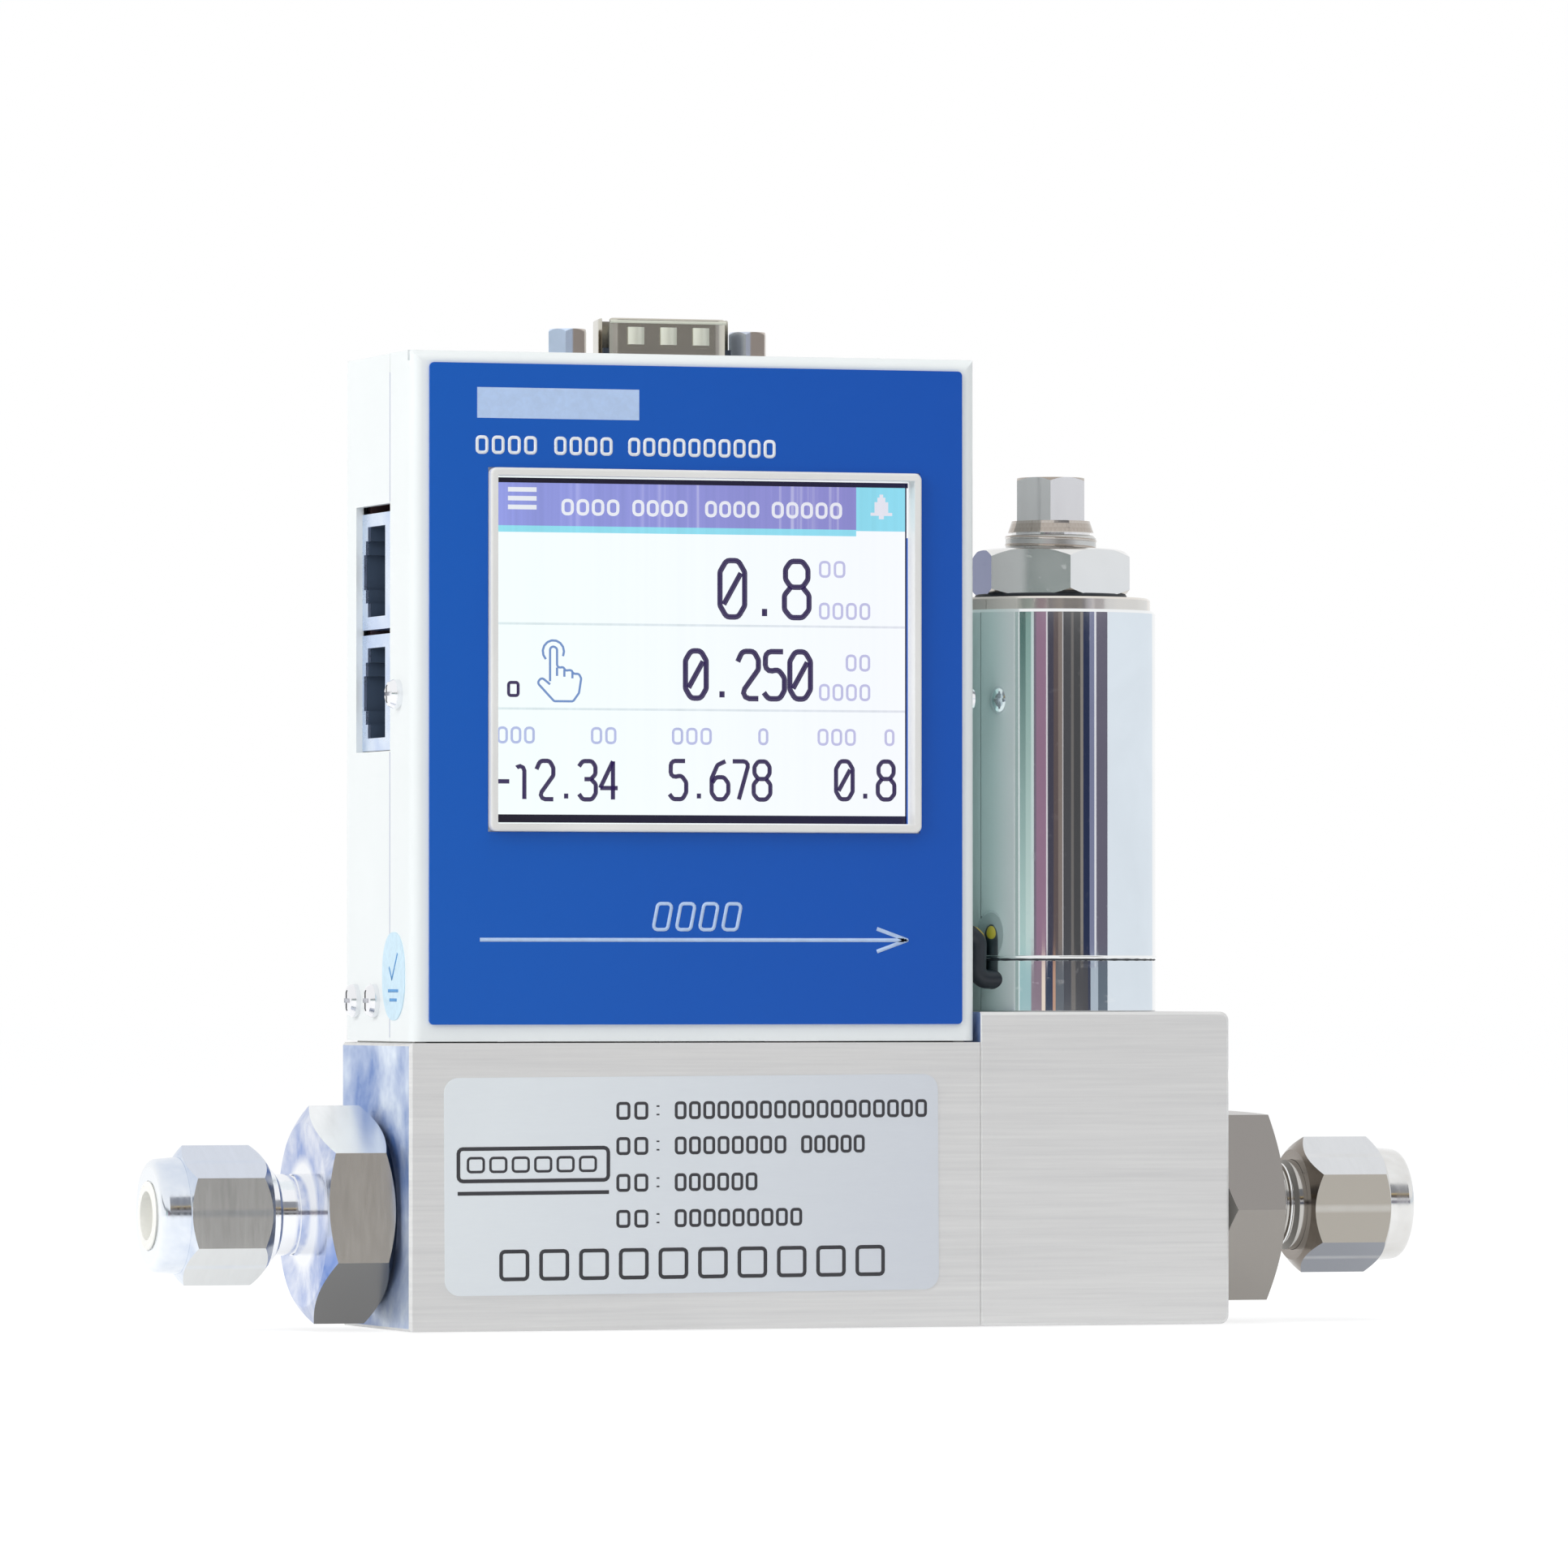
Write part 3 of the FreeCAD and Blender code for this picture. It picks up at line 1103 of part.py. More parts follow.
# Closing spring between the plunger's pocket and the pole.
pole_z0 = plunger_z1 + S.pole_gap
spring = new_body("plunger_spring", valve_x, 0, 0)
coil_z0 = pocket_z + S.spring_wire + 0.03
coil_z1 = pole_z0 - S.spring_wire - 0.03
wire_sketch = sketch_on(spring, "XZ")
draw_circle(wire_sketch, S.spring_radius, coil_z0, S.spring_wire)
helix = spring.newObject("PartDesign::AdditiveHelix", "spring_coil")
helix.Profile = wire_sketch
helix.ReferenceAxis = (wire_sketch, ["V_Axis"])
helix.Mode = 0
bind(helix, "Pitch", (coil_z1 - coil_z0) / S.spring_turns)
bind(helix, "Height", coil_z1 - coil_z0)
doc.recompute()

# Pole and adjuster: closes the core tube and ends in a collar and a hexagon.
adjuster = new_body("adjuster", valve_x, 0, 0)
pole_r = S.core_inner - S.thread_clear
blank = S.stem_across * 0.5774 + 0.02
turned(adjuster, "Z", [
    (pole_z0, 0), (pole_z0, pole_r), (thread_z1, pole_r), (thread_z1, S.stem_collar_radius - 0.1),
    (thread_z1 + 0.3, S.stem_collar_radius - 0.1), (thread_z1 + 0.35, S.stem_collar_radius + 0.4),
    (collar_z1 - 0.35, S.stem_collar_radius), (collar_z1, S.stem_collar_radius - 0.1),
    (collar_z1, blank), (stem_z1 - 0.5, blank), (stem_z1, blank - 0.7),
    (stem_z1, 0),
])
cut(adjuster, "XY", [("circle", 0, 0, blank + 2), hexagon(S.stem_across, S.stem_turn.value)],
    collar_z1, stem_z1)

# Coil former and winding round the core tube.
bobbin_z0 = ring_z1 + 1.85
bobbin_z1 = thread_low - 0.5
bobbin_in = S.core_outer + S.bobbin_clear
hub = bobbin_in + S.bobbin_wall
rim = sleeve_in - 0.3
flange_z0 = bobbin_z0 + S.bobbin_flange
flange_z1 = bobbin_z1 - S.bobbin_flange
bobbin = new_body("coil_bobbin", valve_x, 0, 0)
turned(bobbin, "Z", [
    (bobbin_z0, bobbin_in), (bobbin_z0, rim), (flange_z0, rim), (flange_z0, hub),
    (flange_z1, hub), (flange_z1, rim), (bobbin_z1, rim), (bobbin_z1, bobbin_in),
])
coil = new_body("coil_winding", valve_x, 0, 0)
turned(coil, "Z", [
    (flange_z0 + 0.02, hub + 0.02), (flange_z0 + 0.02, rim - S.winding_clear),
    (flange_z1 - 0.02, rim - S.winding_clear), (flange_z1 - 0.02, hub + 0.02),
])

# Grommet in the front shell's slot, and the coil's lead through it into the ring.
grommet = new_body("lead_grommet", shell_x1, lead_y, lead_top)
lip_r = S.grommet_radius + S.grommet_lip
hole_r = S.lead_radius + 0.05
turned(grommet, "X", [
    (-S.sheet - S.grommet_lip, hole_r), (-S.sheet - S.grommet_lip, lip_r - 0.2), (-S.sheet - 0.03, lip_r),
    (-S.sheet - 0.03, S.grommet_radius - 0.05), (0.03, S.grommet_radius - 0.05), (0.03, lip_r),
    (S.grommet_lip, lip_r - 0.3), (S.grommet_lip, hole_r),
])
ring_side = math.sqrt(S.sleeve_radius.value ** 2 - lead_y.value ** 2)
lead_drop_x = (shell_x1.value + S.grommet_lip.value + valve_x.value - ring_side) / 2
tube_along("valve_lead", [
    Vector(shell_x1.value - S.lead_in_shell.value, lead_y.value, lead_top.value),
    Vector(lead_drop_x + 0.1, lead_y.value, lead_top.value),
    Vector(lead_drop_x - 0.1, lead_y.value, lead_low.value),
    Vector(valve_x.value - ring_side + S.lead_in_ring.value, lead_y.value, lead_low.value),
], S.lead_bend.value, S.lead_radius.value)

doc.recompute()

NODES = [
    "flow_body", "valve_body", "seam_oring", "join_screw_front", "join_screw_rear", "laminar_element",
    "inlet_adapter", "inlet_ferrule", "inlet_nut", "inlet_plug", "outlet_adapter", "outlet_ferrule",
    "outlet_nut", "front_shell", "rear_shell", "front_overlay", "display_bezel", "display_panel",
    "display_frame", "display_board", "main_board", "jack_shield_lower", "jack_shield_upper",
    "jack_insert_lower", "jack_insert_upper", "jack_contacts_lower", "jack_contacts_upper", "dsub_shell",
    "dsub_insulator", "dsub_pins", "jackscrew_left", "jackscrew_right", "bracket_left", "bracket_right",
    "side_screw_left", "side_screw_right", "base_screw_left_front", "base_screw_left_rear",
    "base_screw_right_front", "base_screw_right_rear", "rating_label", "inspection_sticker",
    "sensor_block", "sensor_tube", "sensor_winding_in", "sensor_winding_out", "valve_ring",
    "valve_sleeve", "valve_cap", "lock_nut", "core_tube", "orifice_seat", "plunger", "plunger_spring",
    "adjuster", "coil_bobbin", "coil_winding", "lead_grommet", "valve_lead",
]

failed = [item.Label for item in doc.Objects if "Invalid" in item.State or "Error" in item.State]
if failed:
    raise RuntimeError(f"failed objects: {failed}")
pieces = {}
for name in NODES:
    piece = doc.getObjectsByLabel(name)[0]
    if piece.Shape.isNull() or not piece.Shape.isValid() or len(piece.Shape.Solids) != 1:
        raise RuntimeError(f"bad shape: {name} ({len(piece.Shape.Solids)} solids)")
    pieces[name] = piece.Shape

os.makedirs("parts", exist_ok=True)
for name, shape in pieces.items():
    shape.exportStep(f"parts/{name}.step")
    print(f"{name}: {shape.Volume:.1f} mm3")
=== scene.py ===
"""Dresses an inline gas flow controller: metal block, tube fittings, blue-fronted housing, chromed valve."""

import logging
import math
from dataclasses import dataclass, field
from enum import Enum

import bmesh
import bpy
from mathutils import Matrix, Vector

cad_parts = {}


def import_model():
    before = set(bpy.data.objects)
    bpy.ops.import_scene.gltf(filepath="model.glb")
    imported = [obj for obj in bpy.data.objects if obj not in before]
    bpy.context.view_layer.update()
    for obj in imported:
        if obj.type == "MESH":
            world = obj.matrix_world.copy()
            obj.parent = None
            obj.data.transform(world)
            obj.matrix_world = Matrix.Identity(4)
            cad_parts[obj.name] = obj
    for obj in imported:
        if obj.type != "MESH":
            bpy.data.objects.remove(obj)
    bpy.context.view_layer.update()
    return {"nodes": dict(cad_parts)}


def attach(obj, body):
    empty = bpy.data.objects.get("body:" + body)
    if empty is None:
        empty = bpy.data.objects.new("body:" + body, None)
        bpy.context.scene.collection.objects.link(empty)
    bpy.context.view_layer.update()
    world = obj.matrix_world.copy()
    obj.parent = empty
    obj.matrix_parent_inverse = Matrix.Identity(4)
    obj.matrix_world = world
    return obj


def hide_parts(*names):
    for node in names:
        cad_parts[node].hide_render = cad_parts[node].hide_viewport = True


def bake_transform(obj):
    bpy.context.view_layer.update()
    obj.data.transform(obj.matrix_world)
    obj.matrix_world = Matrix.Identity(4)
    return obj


log = logging.getLogger("controller")
MM = 0.001
RGBA = tuple[float, float, float, float]
Span = tuple[float, float]
Point2 = tuple[float, float]
Point3 = tuple[float, float, float]
Line = list[Point2]
Socket = bpy.types.NodeSocket
Sockets = bpy.types.bpy_prop_collection
Tree = bpy.types.NodeTree
Piece = bpy.types.Object
WHITE: RGBA = (1.0, 1.0, 1.0, 1.0)
GREY: RGBA = (0.8, 0.8, 0.8, 1.0)


def tint(red: int, green: int, blue: int) -> RGBA:
    """Turns screen values into scene colour.

    Args:
        red: Red, 0 to 255.
        green: Green, 0 to 255.
        blue: Blue, 0 to 255.

    Returns:
        The linear colour with full alpha.
    """
    def linear(value: int) -> float:
        """Undoes the screen curve for one channel."""
        share = value / 255
        return share / 12.92 if share <= 0.04045 else ((share + 0.055) / 1.055) ** 2.4
    return (linear(red), linear(green), linear(blue), 1.0)


def dimmed(colour: RGBA, share: float, lift: float = 0.0) -> RGBA:
    """Gives a share of a colour, lifted evenly, with full alpha."""
    return tuple(c * share + lift for c in colour[:3]) + (1.0,)


class Face(Enum):
    """The side of the object that print lies on, as the turn from a flat drawing to that side."""

    FRONT = (math.pi / 2, 0.0, 0.0)
    LEFT = (math.pi / 2, 0.0, -math.pi / 2)


class Body(Enum):
    """Bodies of the frame."""

    INSTRUMENT = "instrument"
    PLUNGER = "moving_plunger"


# Node helpers


class Graph:
    """Adds nodes to a tree and joins them."""

    def __init__(self, tree: Tree) -> None:
        """Keeps the tree."""
        self.tree = tree

    def link(self, start: Socket, end: Socket) -> None:
        """Joins two sockets."""
        self.tree.links.new(start, end)

    def fill(self, socket: Socket, value: object) -> None:
        """Links a value that is a socket, or sets a plain one.

        Args:
            socket: The socket.
            value: A socket to link from, or a plain value.
        """
        if isinstance(value, Socket):
            self.link(value, socket)
        else:
            socket.default_value = value

    def add(self, kind: str, inputs: dict | None = None, **settings: object) -> bpy.types.Node:
        """Adds a node, sets its options and fills or links its inputs.

        Args:
            kind: The node's type name.
            inputs: Socket name or index, with a value or a socket to link from.
            settings: The node's own options.

        Returns:
            The node.
        """
        node = self.tree.nodes.new(kind)
        for name, value in settings.items():
            setattr(node, name, value)
        for name, value in (inputs or {}).items():
            self.fill(node.inputs[name], value)
        return node

    def maths(self, operation: str, *values: object) -> Socket:
        """Adds a Math node and gives its result."""
        return self.add("ShaderNodeMath", dict(enumerate(values)), operation=operation).outputs[0]

    def weigh(self, first: Socket, by: float, second: Socket, other: float) -> Socket:
        """Adds two values, each times its weight."""
        return self.maths("MULTIPLY_ADD", first, by, self.maths("MULTIPLY", second, other))

    def wave(self, value: Socket, pitch: float) -> Socket:
        """Gives a sine wave along a value."""
        return self.maths("SINE", self.maths("MULTIPLY", value, 2 * math.pi / pitch))

    def mix(self, share: Socket, first: Socket, second: Socket) -> Socket:
        """Mixes two numbers and gives the result."""
        return self.add("ShaderNodeMix", {"Factor": share, "A": first, "B": second}).outputs["Result"]

    def blend(self, share: object, first: object, second: object) -> Socket:
        """Mixes two colours and gives the result.

        Args:
            share: How much of the second colour.
            first: The first colour.
            second: The second colour.

        Returns:
            The mixed colour.
        """
        node = self.add("ShaderNodeMix", data_type="RGBA")
        for name, value in (("Factor", share), ("A", first), ("B", second)):
            self.fill(next(s for s in node.inputs if s.name == name and s.enabled), value)
        return next(s for s in node.outputs if s.enabled)

    def spread(self, value: object, low: float, high: float, to: Span = (0.0, 1.0)) -> Socket:
        """Maps a range of values on another, clamped."""
        inputs = {"Value": value, "From Min": low, "From Max": high, "To Min": to[0], "To Max": to[1]}
        return self.add("ShaderNodeMapRange", inputs).outputs["Result"]

    def noise(self, vector: Socket, scale: object, detail: float, **more: float) -> Socket:
        """Adds noise and gives its value."""
        inputs = {"Vector": vector, "Scale": scale, "Detail": detail, **more}
        return self.add("ShaderNodeTexNoise", inputs).outputs["Fac"]

    def split(self, vector: Socket) -> Sockets:
        """Takes a vector apart and gives its parts by name."""
        return self.add("ShaderNodeSeparateXYZ", {0: vector}).outputs

    def facing(self) -> Sockets:
        """Gives the parts of the surface's flat normal by name."""
        return self.split(self.add("ShaderNodeNewGeometry").outputs["True Normal"])


GROUP_SOCKETS = {
    "float": "NodeSocketFloat", "vector": "NodeSocketVector", "colour": "NodeSocketColor",
    "shape": "NodeSocketGeometry", "material": "NodeSocketMaterial",
}


def open_group(name: str, kind: str, inputs: dict[str, str],
               outputs: dict[str, str]) -> tuple[Graph, dict, dict]:
    """Starts a node group with named sockets.

    Args:
        name: The group's name.
        kind: The tree's type.
        inputs: Socket names with their kinds.
        outputs: Socket names with their kinds.

    Returns:
        The graph, its input sockets by name and its output sockets by name.
    """
    tree = bpy.data.node_groups.new(name, kind)
    for title, sort in inputs.items():
        tree.interface.new_socket(title, in_out="INPUT", socket_type=GROUP_SOCKETS[sort])
    for title, sort in outputs.items():
        tree.interface.new_socket(title, in_out="OUTPUT", socket_type=GROUP_SOCKETS[sort])
    graph = Graph(tree)
    start = graph.add("NodeGroupInput")
    end = graph.add("NodeGroupOutput")
    return graph, {s.name: s for s in start.outputs if s.name}, {s.name: s for s in end.inputs if s.name}


# Effects that several finishes share


class Effects:
    """The shader node groups, each built once."""

    def __init__(self) -> None:
        """Builds every group."""
        self.groups = {
            "grain": self.build_grain(), "cloud": self.build_cloud(), "marks": self.build_marks(),
            "peel": self.build_peel(), "rings": self.build_rings(),
        }

    @staticmethod
    def build_grain() -> Tree:
        """Brushed grain: noise drawn out along one direction, fine streaks over broad ones.

        Returns:
            The group's tree.
        """
        graph, given, result = open_group(
            "brushed_grain", "ShaderNodeTree", {"Vector": "vector", "Stretch": "vector"},
            {"Mask": "float", "Height": "float"})
        run = graph.add("ShaderNodeVectorMath", {0: given["Vector"], 1: given["Stretch"]},
                        operation="MULTIPLY").outputs[0]
        fine = graph.noise(run, 1.0, 3.0)
        wide = graph.noise(run, 0.21, 2.0)
        graph.link(graph.spread(graph.weigh(wide, 0.45, fine, 0.55), 0.32, 0.68), result["Mask"])
        graph.link(fine, result["Height"])
        return graph.tree

    @staticmethod
    def build_cloud() -> Tree:
        """Soft patches of two colours.

        Returns:
            The group's tree.
        """
        graph, given, result = open_group(
            "soft_patches", "ShaderNodeTree",
            {"Vector": "vector", "Scale": "float", "First": "colour", "Second": "colour"},
            {"Colour": "colour", "Mask": "float"})
        noise = graph.noise(given["Vector"], given["Scale"], 4.0, Roughness=0.6, Distortion=0.4)
        mask = graph.spread(noise, 0.35, 0.65)
        graph.link(graph.blend(mask, given["First"], given["Second"]), result["Colour"])
        graph.link(mask, result["Mask"])
        return graph.tree

    @staticmethod
    def build_marks() -> Tree:
        """Sparse handling marks: short hairlines in two directions and a few specks.

        Returns:
            The group's tree.
        """
        graph, given, result = open_group(
            "handling_marks", "ShaderNodeTree", {"Vector": "vector", "Amount": "float"}, {"Mask": "float"})
        specks = graph.add("ShaderNodeTexVoronoi", {"Vector": given["Vector"], "Scale": 260.0})
        total = graph.spread(specks.outputs["Distance"], 0.035, 0.075, (1.0, 0.0))
        for stretch, turn in (((900, 120, 900), 0.3), ((140, 900, 700), 1.1)):
            place = graph.add("ShaderNodeMapping", {
                "Vector": given["Vector"], "Rotation": (turn, turn, 0.2), "Scale": stretch})
            hairline = graph.spread(graph.noise(place.outputs[0], 1.0, 1.0), 0.69, 0.74)
            total = graph.maths("MAXIMUM", total, hairline)
        graph.link(graph.maths("MULTIPLY", total, given["Amount"]), result["Mask"])
        return graph.tree

    @staticmethod
    def build_peel() -> Tree:
        """Fine skin of sprayed paint or moulded plastic.

        Returns:
            The group's tree.
        """
        graph, given, result = open_group(
            "fine_skin", "ShaderNodeTree", {"Vector": "vector", "Scale": "float"},
            {"Height": "float", "Mask": "float"})
        graph.link(graph.noise(given["Vector"], given["Scale"], 2.0), result["Height"])
        graph.link(graph.spread(graph.noise(given["Vector"], 35.0, 3.0), 0.3, 0.7), result["Mask"])
        return graph.tree

    @staticmethod
    def build_rings() -> Tree:
        """Lathe marks: fine rings that follow the distance from an axis and the place along it.

        Returns:
            The group's tree.
        """
        graph, given, result = open_group(
            "lathe_rings", "ShaderNodeTree", {"Along": "float", "Radius": "float", "Pitch": "float"},
            {"Height": "float", "Mask": "float"})
        place = graph.add("ShaderNodeCombineXYZ", {
            "X": graph.maths("DIVIDE", given["Along"], given["Pitch"]),
            "Y": graph.maths("DIVIDE", given["Radius"], given["Pitch"])})
        fine = graph.noise(place.outputs[0], 1.0, 2.0)
        graph.link(fine, result["Height"])
        graph.link(graph.spread(fine, 0.35, 0.65), result["Mask"])
        return graph.tree


class Coat(Graph):
    """The tree of one material being dressed, with its shader and object coordinates."""

    def __init__(self, name: str, effects: Effects) -> None:
        """Starts a material with one Principled shader.

        Args:
            name: The material's name.
            effects: The shared groups.
        """
        self.material = bpy.data.materials.new(name)
        self.material.use_nodes = True
        super().__init__(self.material.node_tree)
        self.shader = self.tree.nodes["Principled BSDF"]
        self.place = self.add("ShaderNodeTexCoord").outputs["Object"]
        self.effects = effects

    def effect(self, kind: str, **inputs: object) -> Sockets:
        """Places a shared group on the object coordinates and gives its outputs by name."""
        given = {"Vector": self.place, **inputs}
        return self.add("ShaderNodeGroup", given, node_tree=self.effects.groups[kind]).outputs

    def feed(self, name: str, value: object) -> None:
        """Sets a shader input, or links it when the value changes over the surface."""
        self.fill(self.shader.inputs[name], value)

    def paint(self, share: Socket, first: object, second: object) -> None:
        """Feeds the base colour, mixed from two."""
        self.feed("Base Color", self.blend(share, first, second))

    def wear(self, gloss: object, amount: float) -> None:
        """Feeds the roughness, raised along handling marks."""
        self.feed("Roughness", self.maths("ADD", self.effect("marks", Amount=amount)["Mask"], gloss))

    def bump(self, height: Socket, strength: float, distance: float) -> None:
        """Adds relief that follows a height."""
        node = self.add("ShaderNodeBump", {"Height": height, "Strength": strength, "Distance": distance})
        self.feed("Normal", node.outputs[0])

    def axis_frame(self, centre: Point3, axis: str) -> tuple[Socket, Socket]:
        """Gives the place along an axis and the distance from it, in metres.

        Args:
            centre: A point on the axis, in metres.
            axis: The axis's letter.

        Returns:
            The place along the axis and the distance from it.
        """
        shifted = self.add("ShaderNodeVectorMath", {0: self.place, 1: centre}, operation="SUBTRACT")
        parts = self.split(shifted.outputs[0])
        squares = [self.maths("POWER", parts[name], 2.0) for name in "XYZ" if name != axis]
        return parts[axis], self.maths("SQRT", self.maths("ADD", *squares))


# Finishes


@dataclass(frozen=True)
class Finish:
    """A surface finish: its plain values, and how they vary over the surface."""

    name: str
    colour: RGBA
    metallic: float = 0.0
    roughness: float = 0.4
    specular: float = 0.5
    gloss_by: Span = (0.0, 0.05)
    marks: float = 0.1
    relief: float = 0.25
    depth: float = 0.00003

    def make(self, effects: Effects) -> bpy.types.Material:
        """Builds the material.

        Args:
            effects: The shared groups.

        Returns:
            The material.
        """
        coat = Coat(self.name, effects)
        coat.feed("Base Color", self.colour)
        coat.feed("Metallic", self.metallic)
        coat.feed("Roughness", self.roughness)
        coat.feed("Specular IOR Level", self.specular)
        self.dress(coat)
        return coat.material

    def gloss(self, coat: Coat, mask: Socket) -> Socket:
        """Gives the roughness, which departs from its plain value as a mask goes from 0 to 1."""
        return coat.spread(mask, 0.0, 1.0, tuple(self.roughness + by for by in self.gloss_by))

    def emboss(self, coat: Coat, height: Socket) -> None:
        """Adds the finish's relief."""
        coat.bump(height, self.relief, self.depth)

    def dress(self, coat: Coat) -> None:
        """Adds what varies over the surface."""
        raise NotImplementedError


@dataclass(frozen=True)
class Brushed(Finish):
    """Ground metal with a straight grain, and soft patches of painted reflection and shade on its left end.
    """

    stretch: Point3 = (60.0, 900.0, 2600.0)
    second: RGBA = GREY
    # Colours of the painted reflection and shade on the left end.
    end_reflection_first: RGBA = GREY
    end_reflection_second: RGBA = GREY
    end_normal: Span = (-0.8, -0.95)
    patch_scale: float = 62.0
    gloss_by: Span = (0.07, -0.05)
    marks: float = 0.12
    depth: float = 0.00004

    def dress(self, coat: Coat) -> None:
        """Grain in colour, gloss and height; the left end has soft patches of painted reflection and shade
        instead.

        Args:
            coat: The coat to dress.
        """
        grain = coat.effect("grain", Stretch=self.stretch)
        # Painted reflection and shade: soft patches on the faces that look left.
        ends = coat.effect("cloud", Scale=self.patch_scale, First=self.end_reflection_first, Second=self.end_reflection_second)
        end = coat.spread(coat.facing()["X"], *self.end_normal)
        flat = coat.blend(grain["Mask"], self.second, self.colour)
        coat.paint(end, flat, ends["Colour"])
        coat.wear(self.gloss(coat, grain["Mask"]), self.marks)
        self.emboss(coat, grain["Height"])


@dataclass(frozen=True)
class Fitted(Finish):
    """Fitting steel about an axis: ground flats and turned faces with rings, with painted reflection and
    shade.
    """

    metallic: float = 1.0
    roughness: float = 0.24
    # Painted reflection: the upper and lower flats' colours; below, the turned faces' patches and axial
    # faces.
    over: RGBA = GREY
    under: RGBA = GREY
    bright: RGBA = GREY
    tone_and_reflection_patch: RGBA = GREY
    axial_face_reflection: RGBA = GREY
    inner_side: float = 1.0
    inner_roughness: float = 0.0
    bright_roughness: float = 0.1
    centre: Point3 = (0.0, 0.0, 0.0)
    axis: str = "X"
    flat_from: float = 7.9
    flat_edge: float = 0.05
    reflection_patch_band: Span = (6.5, 8.0)
    patch_scale: float = 74.0
    milling: Point3 = (1900.0, 260.0, 260.0)
    milling_tone: RGBA = (0.2, 0.2, 0.2, 1.0)
    milling_share: float = 0.07
    lathe_pitch: float = 0.00035
    lathe_gloss: float = 0.08
    gloss_by: Span = (0.02, -0.02)
    relief: float = 0.06

    def flats_with_painted_reflection(self, coat: Coat, up: Socket) -> Socket:
        """Gives the flats' colour: plain at the sides, with a painted reflection of its own on upper and on
        lower flats.
        """
        # Painted reflection: upper and lower flats take their own tones by the way they face.
        tone = coat.blend(coat.spread(up, 0.35, 0.5), self.colour, self.over)
        return coat.blend(coat.spread(up, -0.35, -0.5), tone, self.under)

    def dress(self, coat: Coat) -> None:
        """Chooses flats by their distance from the axis and their direction.

        Args:
            coat: The coat to dress.
        """
        along, radius = coat.axis_frame(self.centre, self.axis)
        normal = coat.facing()
        start, end = ((self.flat_from + by) * MM for by in (-self.flat_edge, self.flat_edge))
        level = coat.spread(coat.maths("ABSOLUTE", normal[self.axis]), 0.1, 0.2, (1.0, 0.0))
        flat = coat.maths("MULTIPLY", coat.spread(radius, start, end), level)
        # Painted reflection and shade on the turned faces that look one way along the axis: towards the block
        # on the fittings, up on the stem.
        axial_share = coat.spread(coat.maths("MULTIPLY", normal[self.axis], self.inner_side), 0.25, 0.35)
        grain = coat.effect("grain", Stretch=self.milling)
        # Painted reflection: soft patches on the turned faces within a band of radii.
        cloud = coat.effect("cloud", Scale=self.patch_scale, First=self.bright, Second=self.tone_and_reflection_patch)
        wide = coat.spread(radius, self.reflection_patch_band[0] * MM, self.reflection_patch_band[1] * MM)
        turned = coat.blend(axial_share, coat.blend(wide, self.bright, cloud["Colour"]), self.axial_face_reflection)
        milled = coat.maths("MULTIPLY", grain["Mask"], self.milling_share)
        coat.paint(flat, turned, coat.blend(milled, self.flats_with_painted_reflection(coat, normal["Z"]), self.milling_tone))
        rings = coat.add("ShaderNodeGroup", {"Along": along, "Radius": radius, "Pitch": self.lathe_pitch},
                         node_tree=coat.effects.groups["rings"]).outputs
        turning = (self.bright_roughness, self.bright_roughness + self.lathe_gloss)
        smooth = coat.spread(rings["Mask"], 0.0, 1.0, turning)
        smooth = coat.maths("MAXIMUM", smooth, coat.maths("MULTIPLY", axial_share, self.inner_roughness))
        coat.feed("Roughness", coat.mix(flat, smooth, self.gloss(coat, grain["Mask"])))
        self.emboss(coat, coat.mix(flat, rings["Height"], grain["Height"]))


@dataclass(frozen=True)
class Plated(Finish):
    """Bright plating with faint smears and hairlines, and on some a painted reflection on one side."""

    smear: Point3 = (220.0, 220.0, 14.0)
    patch_scale: float = 60.0
    marks: float = 0.08
    relief: float = 0.06
    depth: float = 0.00002
    # Painted reflection: the colour one side takes, and where it lies.
    side: RGBA | None = None
    reflection_from: float = 0.0
    reflection_to: float = 1.0
    reflection_by_facing: bool = False
    reflection_normal: Span = (-0.85, -0.95)

    def cast(self, coat: Coat) -> Socket:
        """Gives the share of the painted side reflection, by direction or by place across the object.

        Args:
            coat: The coat to add to.

        Returns:
            The share, 0 to 1.
        """
        if self.reflection_by_facing:
            return coat.spread(coat.facing()["X"], *self.reflection_normal)
        return coat.spread(coat.split(coat.place)["X"], self.reflection_from * MM, self.reflection_to * MM)

    def dress(self, coat: Coat) -> None:
        """Smears and hairlines in the gloss, patches in the colour, and a painted reflection on one side.

        Args:
            coat: The coat to dress.
        """
        smear = coat.effect("grain", Stretch=self.smear)
        coat.wear(self.gloss(coat, smear["Mask"]), self.marks)
        tone_and_reflection_patch = coat.effect("cloud", Scale=self.patch_scale, First=self.colour,
                            Second=dimmed(self.colour, 0.95))
        colour = tone_and_reflection_patch["Colour"]
        # Painted reflection: one side takes the colour of what it mirrors.
        if self.side:
            colour = coat.blend(self.cast(coat), colour, self.side)
        coat.feed("Base Color", colour)
        self.emboss(coat, smear["Height"])


@dataclass(frozen=True)
class Painted(Finish):
    """Sprayed paint: fine skin, a little uneven in tone and gloss."""

    second: RGBA = GREY
    skin: float = 2600.0
    gloss_by: Span = (-0.03, 0.05)

    def dress(self, coat: Coat) -> None:
        """Skin as bump, broad patches in tone and gloss, light marks.

        Args:
            coat: The coat to dress.
        """
        skin = coat.effect("peel", Scale=self.skin)
        coat.paint(skin["Mask"], self.colour, self.second)
        coat.wear(self.gloss(coat, skin["Mask"]), self.marks)
        self.emboss(coat, skin["Height"])


